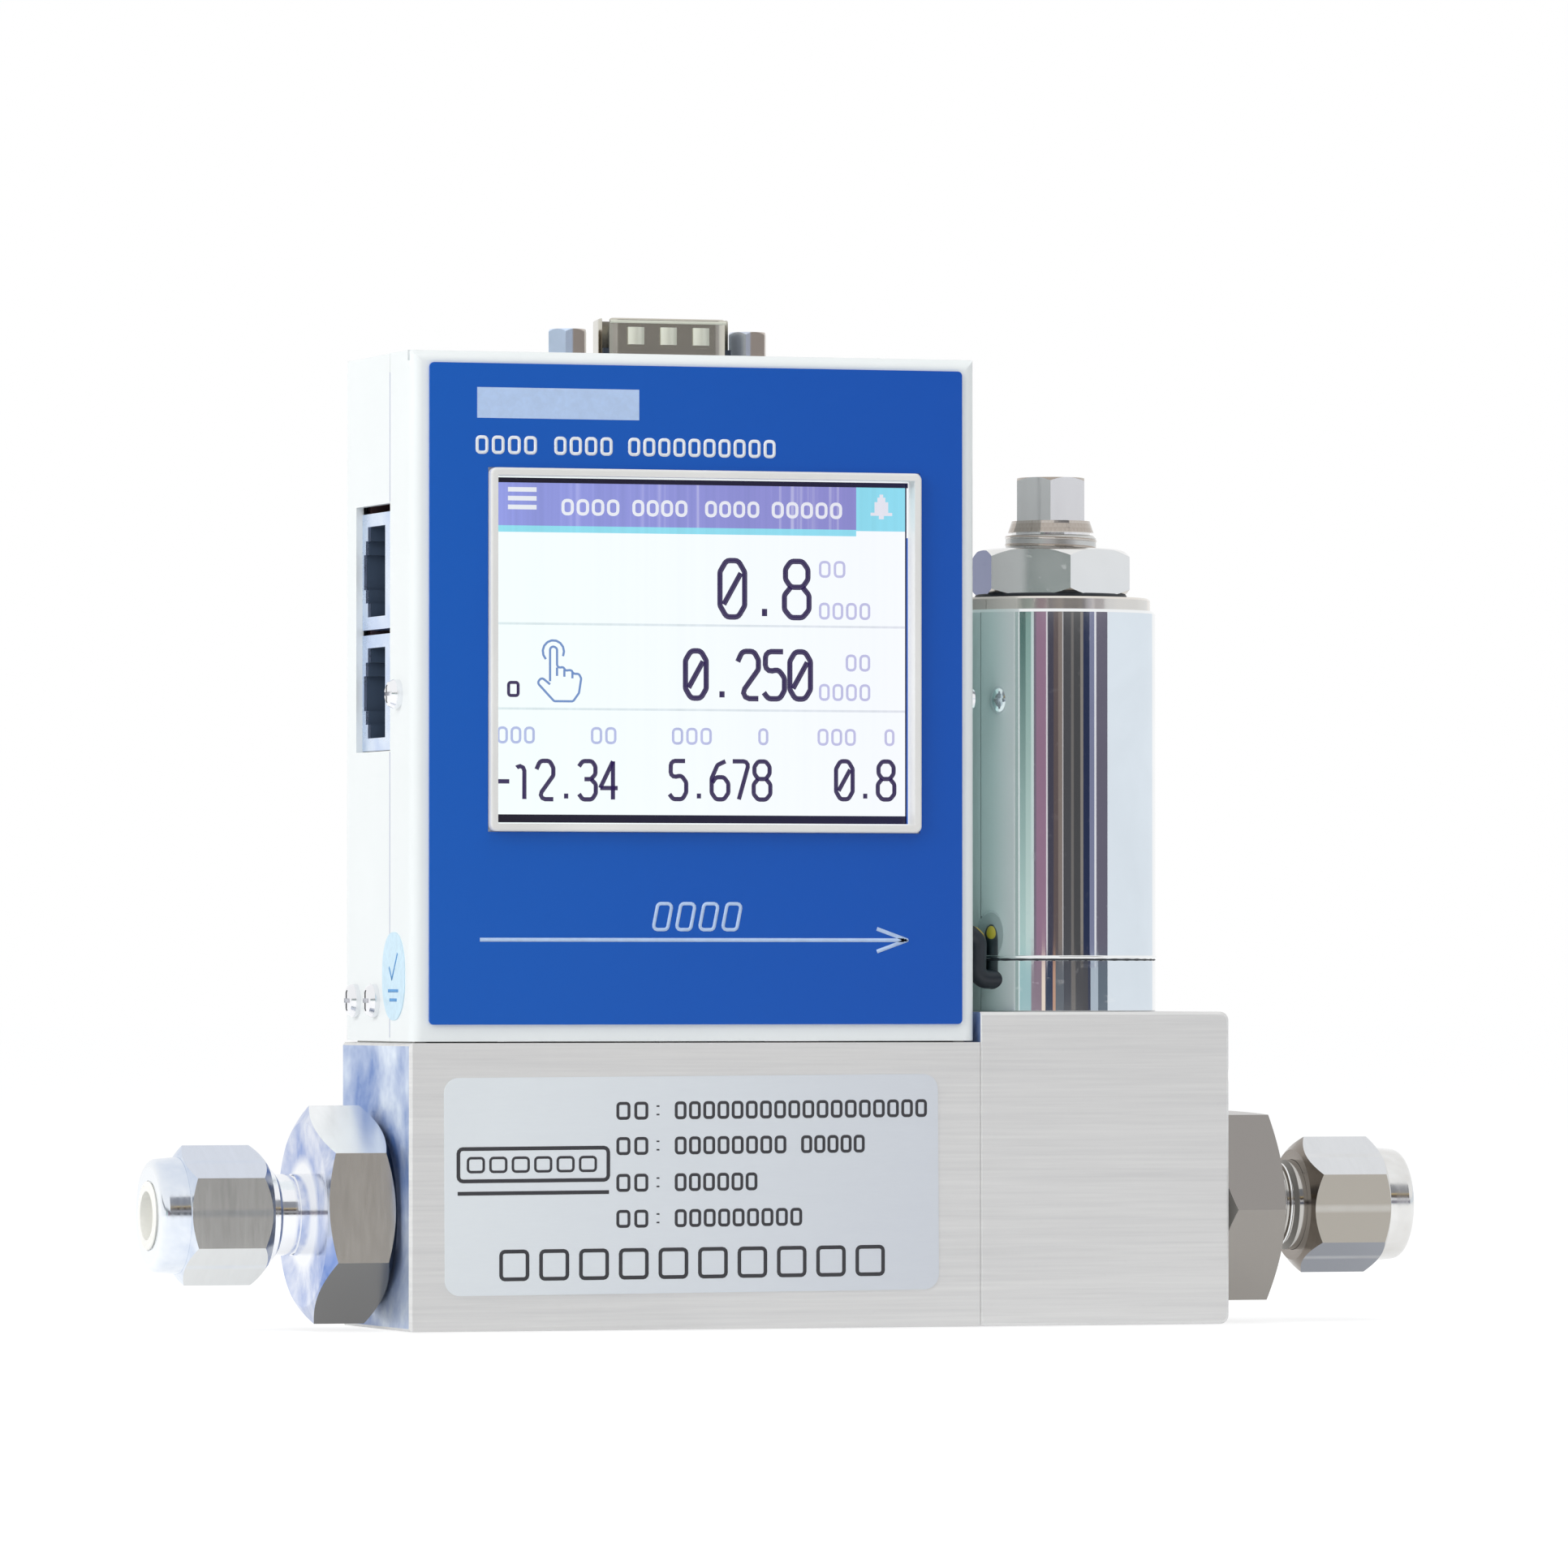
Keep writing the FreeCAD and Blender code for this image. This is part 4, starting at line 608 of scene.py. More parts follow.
@dataclass(frozen=True)
class Film(Finish):
    """Printed front film: even colour that deepens a little across its width, under a satin lacquer."""

    far: RGBA = GREY
    start: float = -54.0
    end: float = 19.0
    skin: float = 3800.0
    skin_share: float = 0.12
    marks: float = 0.08
    relief: float = 0.12
    depth: float = 0.00002

    def dress(self, coat: Coat) -> None:
        """Colour runs from one edge to the other; satin skin.

        Args:
            coat: The coat to dress.
        """
        share = coat.spread(coat.split(coat.place)["X"], self.start * MM, self.end * MM)
        skin = coat.effect("peel", Scale=self.skin)
        tone = coat.weigh(skin["Mask"], self.skin_share, share, 1.0 - self.skin_share)
        coat.paint(tone, self.colour, self.far)
        coat.wear(self.roughness, self.marks)
        self.emboss(coat, skin["Height"])


@dataclass(frozen=True)
class Foil(Finish):
    """Silver label stock with a painted sheen: pale at its left, greyer to the right, with a soft lustre."""

    far: RGBA = GREY
    start: float = -55.0
    end: float = 12.0
    slant: float = -0.35
    stretch: Point3 = (500.0, 500.0, 3600.0)
    grain_share: float = 0.1
    gloss_by: Span = (0.0, 0.06)
    relief: float = 0.08
    depth: float = 0.00002

    def dress(self, coat: Coat) -> None:
        """Painted sheen: the tone runs along the label; very fine grain in gloss.

        Args:
            coat: The coat to dress.
        """
        parts = coat.split(coat.place)
        run = coat.maths("MULTIPLY_ADD", parts["Z"], self.slant, parts["X"])
        grain = coat.effect("grain", Stretch=self.stretch)
        # Painted sheen: lighter at one end of the label, greyer at the other.
        share = coat.spread(run, self.start * MM, self.end * MM)
        tone = coat.weigh(grain["Mask"], self.grain_share, share, 1.0 - self.grain_share)
        coat.paint(tone, self.colour, self.far)
        coat.feed("Roughness", self.gloss(coat, grain["Mask"]))
        self.emboss(coat, grain["Height"])


@dataclass(frozen=True)
class Ink(Finish):
    """Print: slightly uneven cover."""

    cover_scale: float = 900.0
    gloss_by: Span = (0.0, 0.1)

    def dress(self, coat: Coat) -> None:
        """Tiny patches in tone and gloss.

        Args:
            coat: The coat to dress.
        """
        tone_and_reflection_patch = coat.effect("cloud", Scale=self.cover_scale, First=self.colour,
                            Second=dimmed(self.colour, 0.9, 0.01))
        coat.feed("Base Color", tone_and_reflection_patch["Colour"])
        coat.feed("Roughness", self.gloss(coat, tone_and_reflection_patch["Mask"]))


@dataclass(frozen=True)
class Lit(Finish):
    """Lit display: glowing colour with faint upright bands and a fine dot grid, under glass."""

    colour: RGBA = tint(20, 20, 30)
    roughness: float = 0.2
    glow: RGBA = WHITE
    far_glow: RGBA = WHITE
    strength: float = 0.9
    banding: float = 0.12
    flare: float = 0.0
    flare_tone: RGBA = (0.84, 0.85, 1.0, 1.0)
    low: float = -45.0
    high: float = 12.0
    dot_pitch: float = 0.00036
    dot_depth: float = 0.018
    bands: Point3 = (1150.0, 1.0, 9.0)
    flare_mask: Span = (0.42, 0.12)

    def dress(self, coat: Coat) -> None:
        """The glow varies from left to right, by bands and by dots.

        Args:
            coat: The coat to dress.
        """
        parts = coat.split(coat.place)
        share = coat.spread(parts["X"], self.low * MM, self.high * MM)
        bands = coat.effect("grain", Stretch=self.bands)
        waves = [coat.wave(parts[name], self.dot_pitch) for name in "XZ"]
        dim = coat.weigh(coat.maths("MULTIPLY", *waves), self.dot_depth, bands["Mask"], self.banding)
        peaks = coat.maths("MULTIPLY", coat.spread(bands["Mask"], *self.flare_mask, (0.0, self.flare)), share)
        lifted = coat.blend(peaks, coat.blend(share, self.glow, self.far_glow), self.flare_tone)
        coat.feed("Emission Color", coat.blend(dim, lifted, dimmed(self.glow, 0.6)))
        coat.feed("Emission Strength", self.strength)
        coat.feed("Roughness", self.gloss(coat, bands["Mask"]))


@dataclass(frozen=True)
class Moulded(Finish):
    """Moulded plastic or rubber."""

    grain: float = 3200.0
    gloss_by: Span = (0.0, 0.08)
    relief: float = 0.2

    def dress(self, coat: Coat) -> None:
        """Fine skin and soft tone.

        Args:
            coat: The coat to dress.
        """
        skin = coat.effect("peel", Scale=self.grain)
        coat.paint(skin["Mask"], self.colour, dimmed(self.colour, 0.88))
        coat.feed("Roughness", self.gloss(coat, skin["Mask"]))
        self.emboss(coat, skin["Height"])


@dataclass(frozen=True)
class Etched(Finish):
    """Circuit board: lacquer over tracks and pads."""

    copper: RGBA = GREY
    cell_scale: float = 220.0
    track: float = 0.03
    relief: float = 0.3

    def dress(self, coat: Coat) -> None:
        """Tracks as lighter, slightly raised lines.

        Args:
            coat: The coat to dress.
        """
        cells = coat.add("ShaderNodeTexBrick", {
            "Vector": coat.place, "Scale": self.cell_scale, "Mortar Size": self.track,
            "Color1": self.colour, "Color2": self.copper, "Mortar": self.copper}).outputs
        coat.feed("Base Color", cells["Color"])
        self.emboss(coat, cells["Fac"])


@dataclass(frozen=True)
class Wound(Finish):
    """Enamelled wire laid turn by turn."""

    centre: Point3 = (0.0, 0.0, 0.0)
    axis: str = "Z"
    pitch: float = 0.3
    relief: float = 0.5
    depth: float = 0.00006

    def dress(self, coat: Coat) -> None:
        """Turns as waves along the axis, with painted shade in the grooves between turns.

        Args:
            coat: The coat to dress.
        """
        wave = coat.wave(coat.axis_frame(self.centre, self.axis)[0], self.pitch * MM)
        # Painted shade: the grooves between turns are darker.
        share = coat.spread(wave, -1.0, 1.0)
        coat.paint(share, dimmed(self.colour, 0.55), self.colour)
        self.emboss(coat, wave)


@dataclass(frozen=True)
class Sleeved(Finish):
    """Cable sleeve whose coloured core shows near its upper end."""

    tracer: RGBA = GREY
    tracer_from: float = 0.0
    tracer_edge: float = 0.1
    skin: float = 1800.0
    relief: float = 0.3
    depth: float = 0.00004

    def dress(self, coat: Coat) -> None:
        """Core colour beyond a slanted line; soft skin.

        Args:
            coat: The coat to dress.
        """
        parts = coat.split(coat.place)
        slant = coat.maths("ADD", parts["X"], parts["Z"])
        share = coat.spread(slant, self.tracer_from * MM, (self.tracer_from + self.tracer_edge) * MM)
        coat.paint(share, self.colour, self.tracer)
        self.emboss(coat, coat.effect("peel", Scale=self.skin)["Height"])


INLET_AXIS = (0.0, 0.0, 15.0 * MM)
OUTLET_AXIS = (0.0, 0.0, 15.45 * MM)
VALVE_AXIS = (37.25 * MM, 0.0, 0.0)
EVEN_SMEAR = (300.0, 300.0, 300.0)
FINE_SMEAR = (500.0, 500.0, 500.0)
STEM_TONE = tint(232, 232, 232)

FINISHES: dict[str, Finish] = {finish.name: finish for finish in (
    # The block's blue end patches and the jack plates' pale blue ones are painted reflection and shade.
    Brushed("block_steel", tint(232, 232, 231), 0.55, 0.42, second=tint(219, 219, 219),
            end_reflection_first=tint(100, 134, 196), end_reflection_second=tint(228, 238, 250)),
    # One fitting steel in lit and shaded copies: the outlet's is painted darker as shade, the inlet's lighter
    # as lit.
    Fitted("inlet_nut_steel", tint(232, 232, 229), over=tint(212, 218, 230), under=tint(222, 224, 224),
           bright=tint(242, 246, 250), tone_and_reflection_patch=tint(196, 208, 228), axial_face_reflection=tint(160, 165, 175),
           centre=INLET_AXIS),
    Fitted("inlet_hex_steel", tint(248, 244, 236), over=tint(246, 248, 250), under=tint(118, 118, 118),
           bright=tint(242, 244, 248), tone_and_reflection_patch=tint(112, 142, 206), axial_face_reflection=tint(150, 155, 165),
           centre=INLET_AXIS),
    Fitted("outlet_nut_steel", tint(176, 171, 162), over=tint(219, 221, 224), under=tint(140, 144, 152),
           bright=tint(236, 237, 237), tone_and_reflection_patch=tint(196, 192, 186), axial_face_reflection=tint(136, 128, 120),
           centre=OUTLET_AXIS, inner_side=-1.0),
    Fitted("outlet_hex_steel", tint(149, 145, 140), over=tint(151, 147, 144), under=tint(153, 149, 144),
           bright=tint(190, 188, 184), tone_and_reflection_patch=tint(130, 126, 120), axial_face_reflection=tint(170, 168, 164),
           centre=OUTLET_AXIS, inner_side=-1.0, inner_roughness=0.6),
    Fitted("stem_steel", STEM_TONE, roughness=0.1, over=STEM_TONE, under=STEM_TONE,
           bright=tint(196, 190, 184), tone_and_reflection_patch=tint(150, 142, 134), axial_face_reflection=tint(166, 156, 146),
           centre=VALVE_AXIS, axis="Z", flat_from=4.45, bright_roughness=0.04),
    # Painted reflections: the chrome's greenish left side, the lock nut's blue flats that face left, the
    # jackscrews' sides.
    Plated("valve_chrome", tint(240, 242, 243), 1.0, 0.02, gloss_by=(0.0, 0.03), marks=0.03,
           side=tint(218, 238, 236), reflection_from=29.6, reflection_to=26.0),
    Plated("cap_steel", tint(226, 221, 214), 1.0, 0.13, smear=(260.0, 260.0, 60.0), marks=0.05),
    Plated("nut_chrome", tint(232, 232, 231), 1.0, 0.14, smear=(160.0, 160.0, 160.0), marks=0.05,
           side=tint(12, 48, 118), reflection_by_facing=True),
    Plated("screw_steel", tint(242, 243, 246), 1.0, 0.12, smear=FINE_SMEAR),
    Plated("inner_steel", tint(205, 205, 203), 1.0, 0.25, smear=EVEN_SMEAR),
    Brushed("plain_metal", tint(200, 200, 198), 0.9, 0.4, second=tint(184, 184, 182),
            end_reflection_first=tint(190, 190, 186), end_reflection_second=tint(202, 202, 198)),
    Painted("white_paint", tint(238, 243, 244), 0.0, 0.34, second=tint(234, 239, 240)),
    Film("blue_film", tint(2, 90, 187), 0.0, 0.38, 0.35, far=tint(0, 80, 181)),
    Moulded("bezel_plastic", tint(238, 238, 236), 0.0, 0.3),
    Lit("display_picture", tint(20, 22, 26), glow=tint(246, 255, 255), far_glow=tint(247, 250, 255),
        strength=1.0, banding=0.06),
    Etched("board_navy", tint(66, 70, 116), 0.0, 0.35, copper=tint(112, 84, 84)),
    Brushed("jack_plate", tint(212, 226, 250), 0.9, 0.28, second=tint(196, 214, 246),
            stretch=(300.0, 300.0, 1500.0), end_reflection_first=tint(186, 206, 242), end_reflection_second=tint(226, 238, 254)),
    Moulded("black_plastic", tint(42, 52, 66), 0.0, 0.35),
    Moulded("jack_plastic", tint(74, 90, 112), 0.0, 0.3),
    Plated("contact_gold", tint(150, 156, 172), 1.0, 0.24, smear=FINE_SMEAR),
    Plated("nickel_plate", tint(206, 203, 192), 1.0, 0.17, smear=EVEN_SMEAR, marks=0.02),
    Plated("nickel_light", tint(222, 224, 210), 0.3, 0.35, smear=EVEN_SMEAR, marks=0.02),
    Plated("post_left_nickel", tint(190, 180, 170), 1.0, 0.2, smear=EVEN_SMEAR, marks=0.02,
           side=tint(214, 232, 255), reflection_from=-29.95, reflection_to=-30.25),
    Plated("post_right_nickel", tint(190, 180, 170), 1.0, 0.2, smear=EVEN_SMEAR, marks=0.02,
           side=tint(206, 214, 228), reflection_from=-5.3, reflection_to=-5.6),
    Foil("silver_label", tint(233, 239, 243), 0.25, 0.35, far=tint(214, 219, 227)),
    Ink("blue_sticker", tint(206, 234, 250), 0.0, 0.4),
    Wound("coil_copper", tint(190, 110, 60), 0.8, 0.3, centre=VALVE_AXIS),
    Moulded("ivory_plastic", tint(255, 255, 250), 0.0, 0.45),
    Moulded("black_rubber", tint(34, 40, 48), 0.0, 0.55, grain=1600.0),
    Moulded("grey_rubber", tint(204, 212, 214), 0.0, 0.55, grain=1600.0),
    Sleeved("lead_sleeve", tint(26, 36, 46), 0.0, 0.42, tracer=tint(206, 178, 40), tracer_from=76.2),
    Ink("seam_shadow", tint(170, 174, 206), 0.0, 0.5),
    Ink("white_ink", tint(236, 241, 248), 0.0, 0.4),
    Ink("pale_blue_ink", tint(184, 208, 244), 0.0, 0.4),
    Ink("dark_ink", tint(48, 48, 54), 0.0, 0.45),
    Ink("blue_ink", tint(70, 150, 215), 0.0, 0.45),
    Lit("header_glow", glow=tint(160, 170, 248), far_glow=tint(150, 140, 212), banding=0.6, flare=0.8),
    Lit("cyan_glow", glow=tint(155, 238, 255), far_glow=tint(150, 232, 255), banding=0.3),
    Lit("white_glow", glow=tint(244, 248, 255), far_glow=tint(238, 238, 250)),
    Lit("lavender_glow", glow=tint(186, 200, 242), far_glow=tint(206, 202, 240), banding=0.3),
    Lit("rule_glow", glow=tint(236, 252, 254), far_glow=tint(240, 242, 252), banding=0.3),
    Lit("digit_glow", tint(14, 12, 26), glow=tint(52, 38, 88), far_glow=tint(50, 36, 84), banding=0.3),
    Lit("icon_glow", glow=tint(116, 150, 206), far_glow=tint(116, 150, 206), banding=0.2),
    Lit("border_glow", tint(10, 8, 22), glow=tint(18, 14, 30), far_glow=tint(24, 22, 60), banding=0.2),
    Lit("edge_glow", tint(10, 8, 22), glow=tint(40, 104, 206), far_glow=tint(40, 104, 206), banding=0.2),
)}

NODE_FINISHES: dict[str, tuple[str, ...]] = {
    "block_steel": ("flow_body", "valve_body"),
    "inlet_hex_steel": ("inlet_adapter",),
    "inlet_nut_steel": ("inlet_ferrule", "inlet_nut"),
    "outlet_hex_steel": ("outlet_adapter",),
    "outlet_nut_steel": ("outlet_ferrule", "outlet_nut"),
    "valve_chrome": ("valve_ring", "valve_sleeve"),
    "cap_steel": ("valve_cap",),
    "nut_chrome": ("lock_nut",),
    "stem_steel": ("adjuster",),
    "screw_steel": ("join_screw_front", "join_screw_rear", "side_screw_left", "side_screw_right",
                    "base_screw_left_front", "base_screw_left_rear", "base_screw_right_front",
                    "base_screw_right_rear"),
    "inner_steel": ("laminar_element", "sensor_block", "sensor_tube", "core_tube", "orifice_seat", "plunger",
                    "plunger_spring"),
    "plain_metal": ("display_frame", "bracket_left", "bracket_right"),
    "white_paint": ("front_shell", "rear_shell"),
    "blue_film": ("front_overlay",),
    "bezel_plastic": ("display_bezel",),
    "display_picture": ("display_panel",),
    "board_navy": ("display_board", "main_board"),
    "jack_plate": ("jack_shield_lower", "jack_shield_upper"),
    "jack_plastic": ("jack_insert_lower", "jack_insert_upper"),
    "black_plastic": ("dsub_insulator", "coil_bobbin"),
    "contact_gold": ("jack_contacts_lower", "jack_contacts_upper", "dsub_pins"),
    "nickel_plate": ("dsub_shell",),
    "post_left_nickel": ("jackscrew_left",),
    "post_right_nickel": ("jackscrew_right",),
    "silver_label": ("rating_label",),
    "blue_sticker": ("inspection_sticker",),
    "coil_copper": ("sensor_winding_in", "sensor_winding_out", "coil_winding"),
    "ivory_plastic": ("inlet_plug",),
    "black_rubber": ("seam_oring",),
    "grey_rubber": ("lead_grommet",),
    "lead_sleeve": ("valve_lead",),
}


class Paintbox:
    """Makes each material once and gives it by name."""

    def __init__(self) -> None:
        """Builds the shared effects and starts with no material."""
        self.effects = Effects()
        self.made: dict[str, bpy.types.Material] = {}

    def __getitem__(self, name: str) -> bpy.types.Material:
        """Gives the material of a finish.

        Args:
            name: The finish's name.

        Returns:
            The material.
        """
        if name not in self.made:
            self.made[name] = FINISHES[name].make(self.effects)
        return self.made[name]


# Shapes by rule


class Shapes:
    """The geometry trees, each built once."""

    def __init__(self) -> None:
        """Builds every tree."""
        self.strokes = self.build_strokes()
        self.bars = self.build_bars()
        self.thread = self.build_thread()

    @staticmethod
    def start(name: str, **inputs: str) -> tuple[Graph, dict, dict]:
        """Starts a tree that takes a shape, its own inputs, and where and of what the result is to be.

        Args:
            name: The tree's name.
            inputs: Its own inputs with their kinds.

        Returns:
            The graph, its input sockets by name and its output sockets by name.
        """
        return open_group(name, "GeometryNodeTree", {
            "Geometry": "shape", **inputs, "Place": "vector", "Turn": "vector", "Material": "material",
        }, {"Geometry": "shape"})

    @staticmethod
    def finish(graph: Graph, shape: bpy.types.Node, given: dict, result: dict) -> Tree:
        """Turns and places the shape, makes it real, gives it its material and ends the tree.

        Args:
            graph: The tree's graph.
            shape: The node that puts the shape out.
            given: The tree's input sockets by name.
            result: Its output sockets by name.

        Returns:
            The finished tree.
        """
        moved = graph.add("GeometryNodeTransform", {
            "Geometry": shape.outputs[0], "Translation": given["Place"], "Rotation": given["Turn"]})
        real = graph.add("GeometryNodeRealizeInstances", {"Geometry": moved.outputs[0]})
        painted = graph.add("GeometryNodeSetMaterial", {
            "Geometry": real.outputs[0], "Material": given["Material"]})
        graph.link(painted.outputs[0], result["Geometry"])
        return graph.tree

    @staticmethod
    def sweep(graph: Graph, path: bpy.types.Node, section: bpy.types.Node) -> bpy.types.Node:
        """Draws a section along a path, with closed ends."""
        return graph.add("GeometryNodeCurveToMesh", {
            "Curve": path.outputs[0], "Profile Curve": section.outputs[0], "Fill Caps": True})

    @classmethod
    def build_strokes(cls) -> Tree:
        """Ribbons along drawn lines, with rounded corners and closed ends.

        Returns:
            The group's tree.
        """
        graph, given, result = cls.start("drawn_strokes", Width="float", Depth="float", Round="float")
        line = graph.add("GeometryNodeMeshToCurve", {"Mesh": given["Geometry"]})
        level = graph.add("GeometryNodeSetCurveNormal", {"Curve": line.outputs[0]}, mode="Z_UP")
        soft = graph.add("GeometryNodeFilletCurve", {
            "Curve": level.outputs[0], "Count": 3, "Radius": given["Round"],
            "Limit Radius": True}, mode="POLY")
        section = graph.add("GeometryNodeCurvePrimitiveQuadrilateral", {
            "Width": given["Width"], "Height": given["Depth"]})
        return cls.finish(graph, cls.sweep(graph, soft, section), given, result)

    @classmethod
    def build_bars(cls) -> Tree:
        """A flat bar at each point, as large as the point says.

        Returns:
            The group's tree.
        """
        graph, given, result = cls.start("printed_bars")
        size = graph.add("GeometryNodeInputNamedAttribute", {"Name": "bar_size"}, data_type="FLOAT_VECTOR")
        block = graph.add("GeometryNodeMeshCube", {"Size": (1.0, 1.0, 1.0)})
        spots = graph.add("GeometryNodeMeshToPoints", {"Mesh": given["Geometry"]})
        placed = graph.add("GeometryNodeInstanceOnPoints", {
            "Points": spots.outputs[0], "Instance": block.outputs[0], "Scale": size.outputs[0]})
        return cls.finish(graph, placed, given, result)

    @classmethod
    def build_thread(cls) -> Tree:
        """A thread ridge: a round wire wound up along an axis.

        Returns:
            The group's tree.
        """
        graph, given, result = cls.start(
            "thread_ridge", Radius="float", Pitch="float", Turns="float", Ridge="float")
        path = graph.add("GeometryNodeCurveSpiral", {
            "Resolution": 40, "Rotations": given["Turns"], "Start Radius": given["Radius"],
            "End Radius": given["Radius"], "Height": graph.maths("MULTIPLY", given["Pitch"], given["Turns"])})
        section = graph.add("GeometryNodeCurvePrimitiveCircle", {"Resolution": 8, "Radius": given["Ridge"]})
        wire = cls.sweep(graph, path, section)
        smooth = graph.add("GeometryNodeSetShadeSmooth", {"Geometry": wire.outputs[0]})
        return cls.finish(graph, smooth, given, result)


@dataclass(frozen=True)
class Coil:
    """A wire wound round an axis, in millimetres; with no pitch it is a ring."""

    radius: float
    wire: float = 0.26
    pitch: float = 0.0
    turns: float = 1.0


class Workshop:
    """Turns drawings and trees into finished pieces on a body."""

    def __init__(self) -> None:
        """Builds the paints and the trees."""
        self.paints = Paintbox()
        self.shapes = Shapes()

    @staticmethod
    def link(name: str, data: bpy.types.ID) -> Piece:
        """Puts a mesh, a lamp or a camera in the scene as an object at the origin.

        Args:
            name: The object's name.
            data: Its mesh, lamp or camera.

        Returns:
            The object.
        """
        piece = bpy.data.objects.new(name, data)
        bpy.context.scene.collection.objects.link(piece)
        return piece

    @staticmethod
    def seat(piece: Piece, slot: str, bend: tuple[Point3, Point3] | None) -> Piece:
        """Rides a piece on the instrument, or, for a piece between plunger and instrument, bakes its place
        into its mesh.

        Args:
            piece: The finished piece.
            slot: Not used.
            bend: Where it leaves the plunger and joins the instrument, for a piece between them.

        Returns:
            The same piece.
        """
        if bend:
            bend[0]
            bend[1]
            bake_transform(piece)
        else:
            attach(piece, Body.INSTRUMENT.value)
        way = "bending with the plunger" if bend else "on the instrument"
        log.info("%s: %d faces, %s", piece.name, len(piece.data.polygons), way)
        return piece

    def grow(self, mesh: bpy.types.Mesh, tree: Tree, inputs: dict, finish: str, slot: str,
             bend: tuple[Point3, Point3] | None = None) -> Piece:
        """Runs a tree on a mesh and keeps the result as a plain mesh.

        Args:
            mesh: What the tree starts from, under the piece's name.
            tree: The geometry tree.
            inputs: The tree's named inputs and their values.
            finish: The finish's name.
            slot: The record's slot for the piece.
            bend: Where it leaves the plunger and joins the instrument, for a piece between them.

        Returns:
            The seated piece.
        """
        name = mesh.name
        mesh.name = name + "_seed"
        piece = self.link(name, mesh)
        modifier = piece.modifiers.new("shape", "NODES")
        modifier.node_group = tree
        sockets = {s.name: s.identifier for s in tree.interface.items_tree if s.in_out == "INPUT"}
        for title, value in (inputs | {"Material": self.paints[finish]}).items():
            modifier[sockets[title]] = value
        bpy.context.view_layer.update()
        shaped = piece.evaluated_get(bpy.context.evaluated_depsgraph_get())
        plain = bpy.data.meshes.new_from_object(shaped)
        plain.name = name
        piece.modifiers.remove(modifier)
        piece.data = plain
        bpy.data.meshes.remove(mesh)
        work = bmesh.new()
        work.from_mesh(plain)
        bmesh.ops.recalc_face_normals(work, faces=work.faces)
        work.to_mesh(plain)
        work.free()
        return self.seat(piece, slot, bend)

    def wind(self, name: str, finish: str, slot: str, coil: Coil, place: Point3,
             turn: Point3 = (0.0, 0.0, 0.0), bend: tuple[Point3, Point3] | None = None) -> Piece:
        """Winds a wire round an axis.

        Args:
            name: The piece's name.
            finish: The finish's name.
            slot: The record's slot.
            coil: The wire's sizes.
            place: Its start, in metres.
            turn: How its axis is turned from upright.
            bend: Where it leaves the plunger and joins the instrument, for a piece between them.

        Returns:
            The seated piece.
        """
        return self.grow(bpy.data.meshes.new(name), self.shapes.thread, {
            "Radius": coil.radius * MM, "Pitch": coil.pitch * MM, "Turns": coil.turns,
            "Ridge": coil.wire * MM, "Place": place, "Turn": turn}, finish, slot, bend)


@dataclass(frozen=True)
class Sheet:
    """One layer of print or fine relief; place is its drawing's origin in millimetres."""

    shop: Workshop
    place: Point3
    slot: str
    face: Face = Face.FRONT
    depth: float = 0.02

    def put(self, mesh: bpy.types.Mesh, tree: Tree, finish: str, sizes: dict[str, float]) -> Piece:
        """Grows a drawing into a piece of this layer; sizes are in millimetres.

        Args:
            mesh: The drawing, under the piece's name.
            tree: The geometry tree.
            finish: The finish's name.
            sizes: The tree's sizes by name.

        Returns:
            The seated piece.
        """
        inputs = {title: size * MM for title, size in sizes.items()}
        pose = {"Place": tuple(c * MM for c in self.place), "Turn": self.face.value}
        return self.shop.grow(mesh, tree, inputs | pose, finish, self.slot)

    def draw(self, name: str, finish: str, lines: list[Line], width: float, rounding: float) -> Piece:
        """Draws lines as ribbons.

        Args:
            name: The piece's name.
            finish: The finish's name.
            lines: Lines in the face's plane, in millimetres; a closed line repeats its first point.
            width: The ribbon's width.
            rounding: The corners' radius.

        Returns:
            The seated piece.
        """
        points: list[Point3] = []
        edges: list[tuple[int, int]] = []
        for line in lines:
            closed = line[0] == line[-1]
            kept = line[:-1] if closed else line
            first = len(points)
            points += [(x * MM, y * MM, 0.0) for x, y in kept]
            edges += [(first + i, first + i + 1) for i in range(len(kept) - 1)]
            if closed:
                edges.append((first + len(kept) - 1, first))
        mesh = bpy.data.meshes.new(name)
        mesh.from_pydata(points, edges, [])
        return self.put(mesh, self.shop.shapes.strokes, finish, {
            "Width": width, "Depth": self.depth, "Round": rounding})

    def bars(self, name: str, finish: str, boxes: list[tuple[float, float, float, float]]) -> Piece:
        """Prints flat bars.

        Args:
            name: The piece's name.
            finish: The finish's name.
            boxes: Left, low, right and high of each bar, in millimetres in the face's plane.

        Returns:
            The seated piece.
        """
        mesh = bpy.data.meshes.new(name)
        mesh.from_pydata([((x0 + x1) / 2 * MM, (y0 + y1) / 2 * MM, 0.0) for x0, y0, x1, y1 in boxes], [], [])
        size = mesh.attributes.new("bar_size", "FLOAT_VECTOR", "POINT")
        for index, (x0, y0, x1, y1) in enumerate(boxes):
            size.data[index].vector = ((x1 - x0) * MM, (y1 - y0) * MM, self.depth * MM)
        return self.put(mesh, self.shop.shapes.bars, finish, {})


# Numerals for the display, each in a box NUMERAL_WIDE wide and 1 high

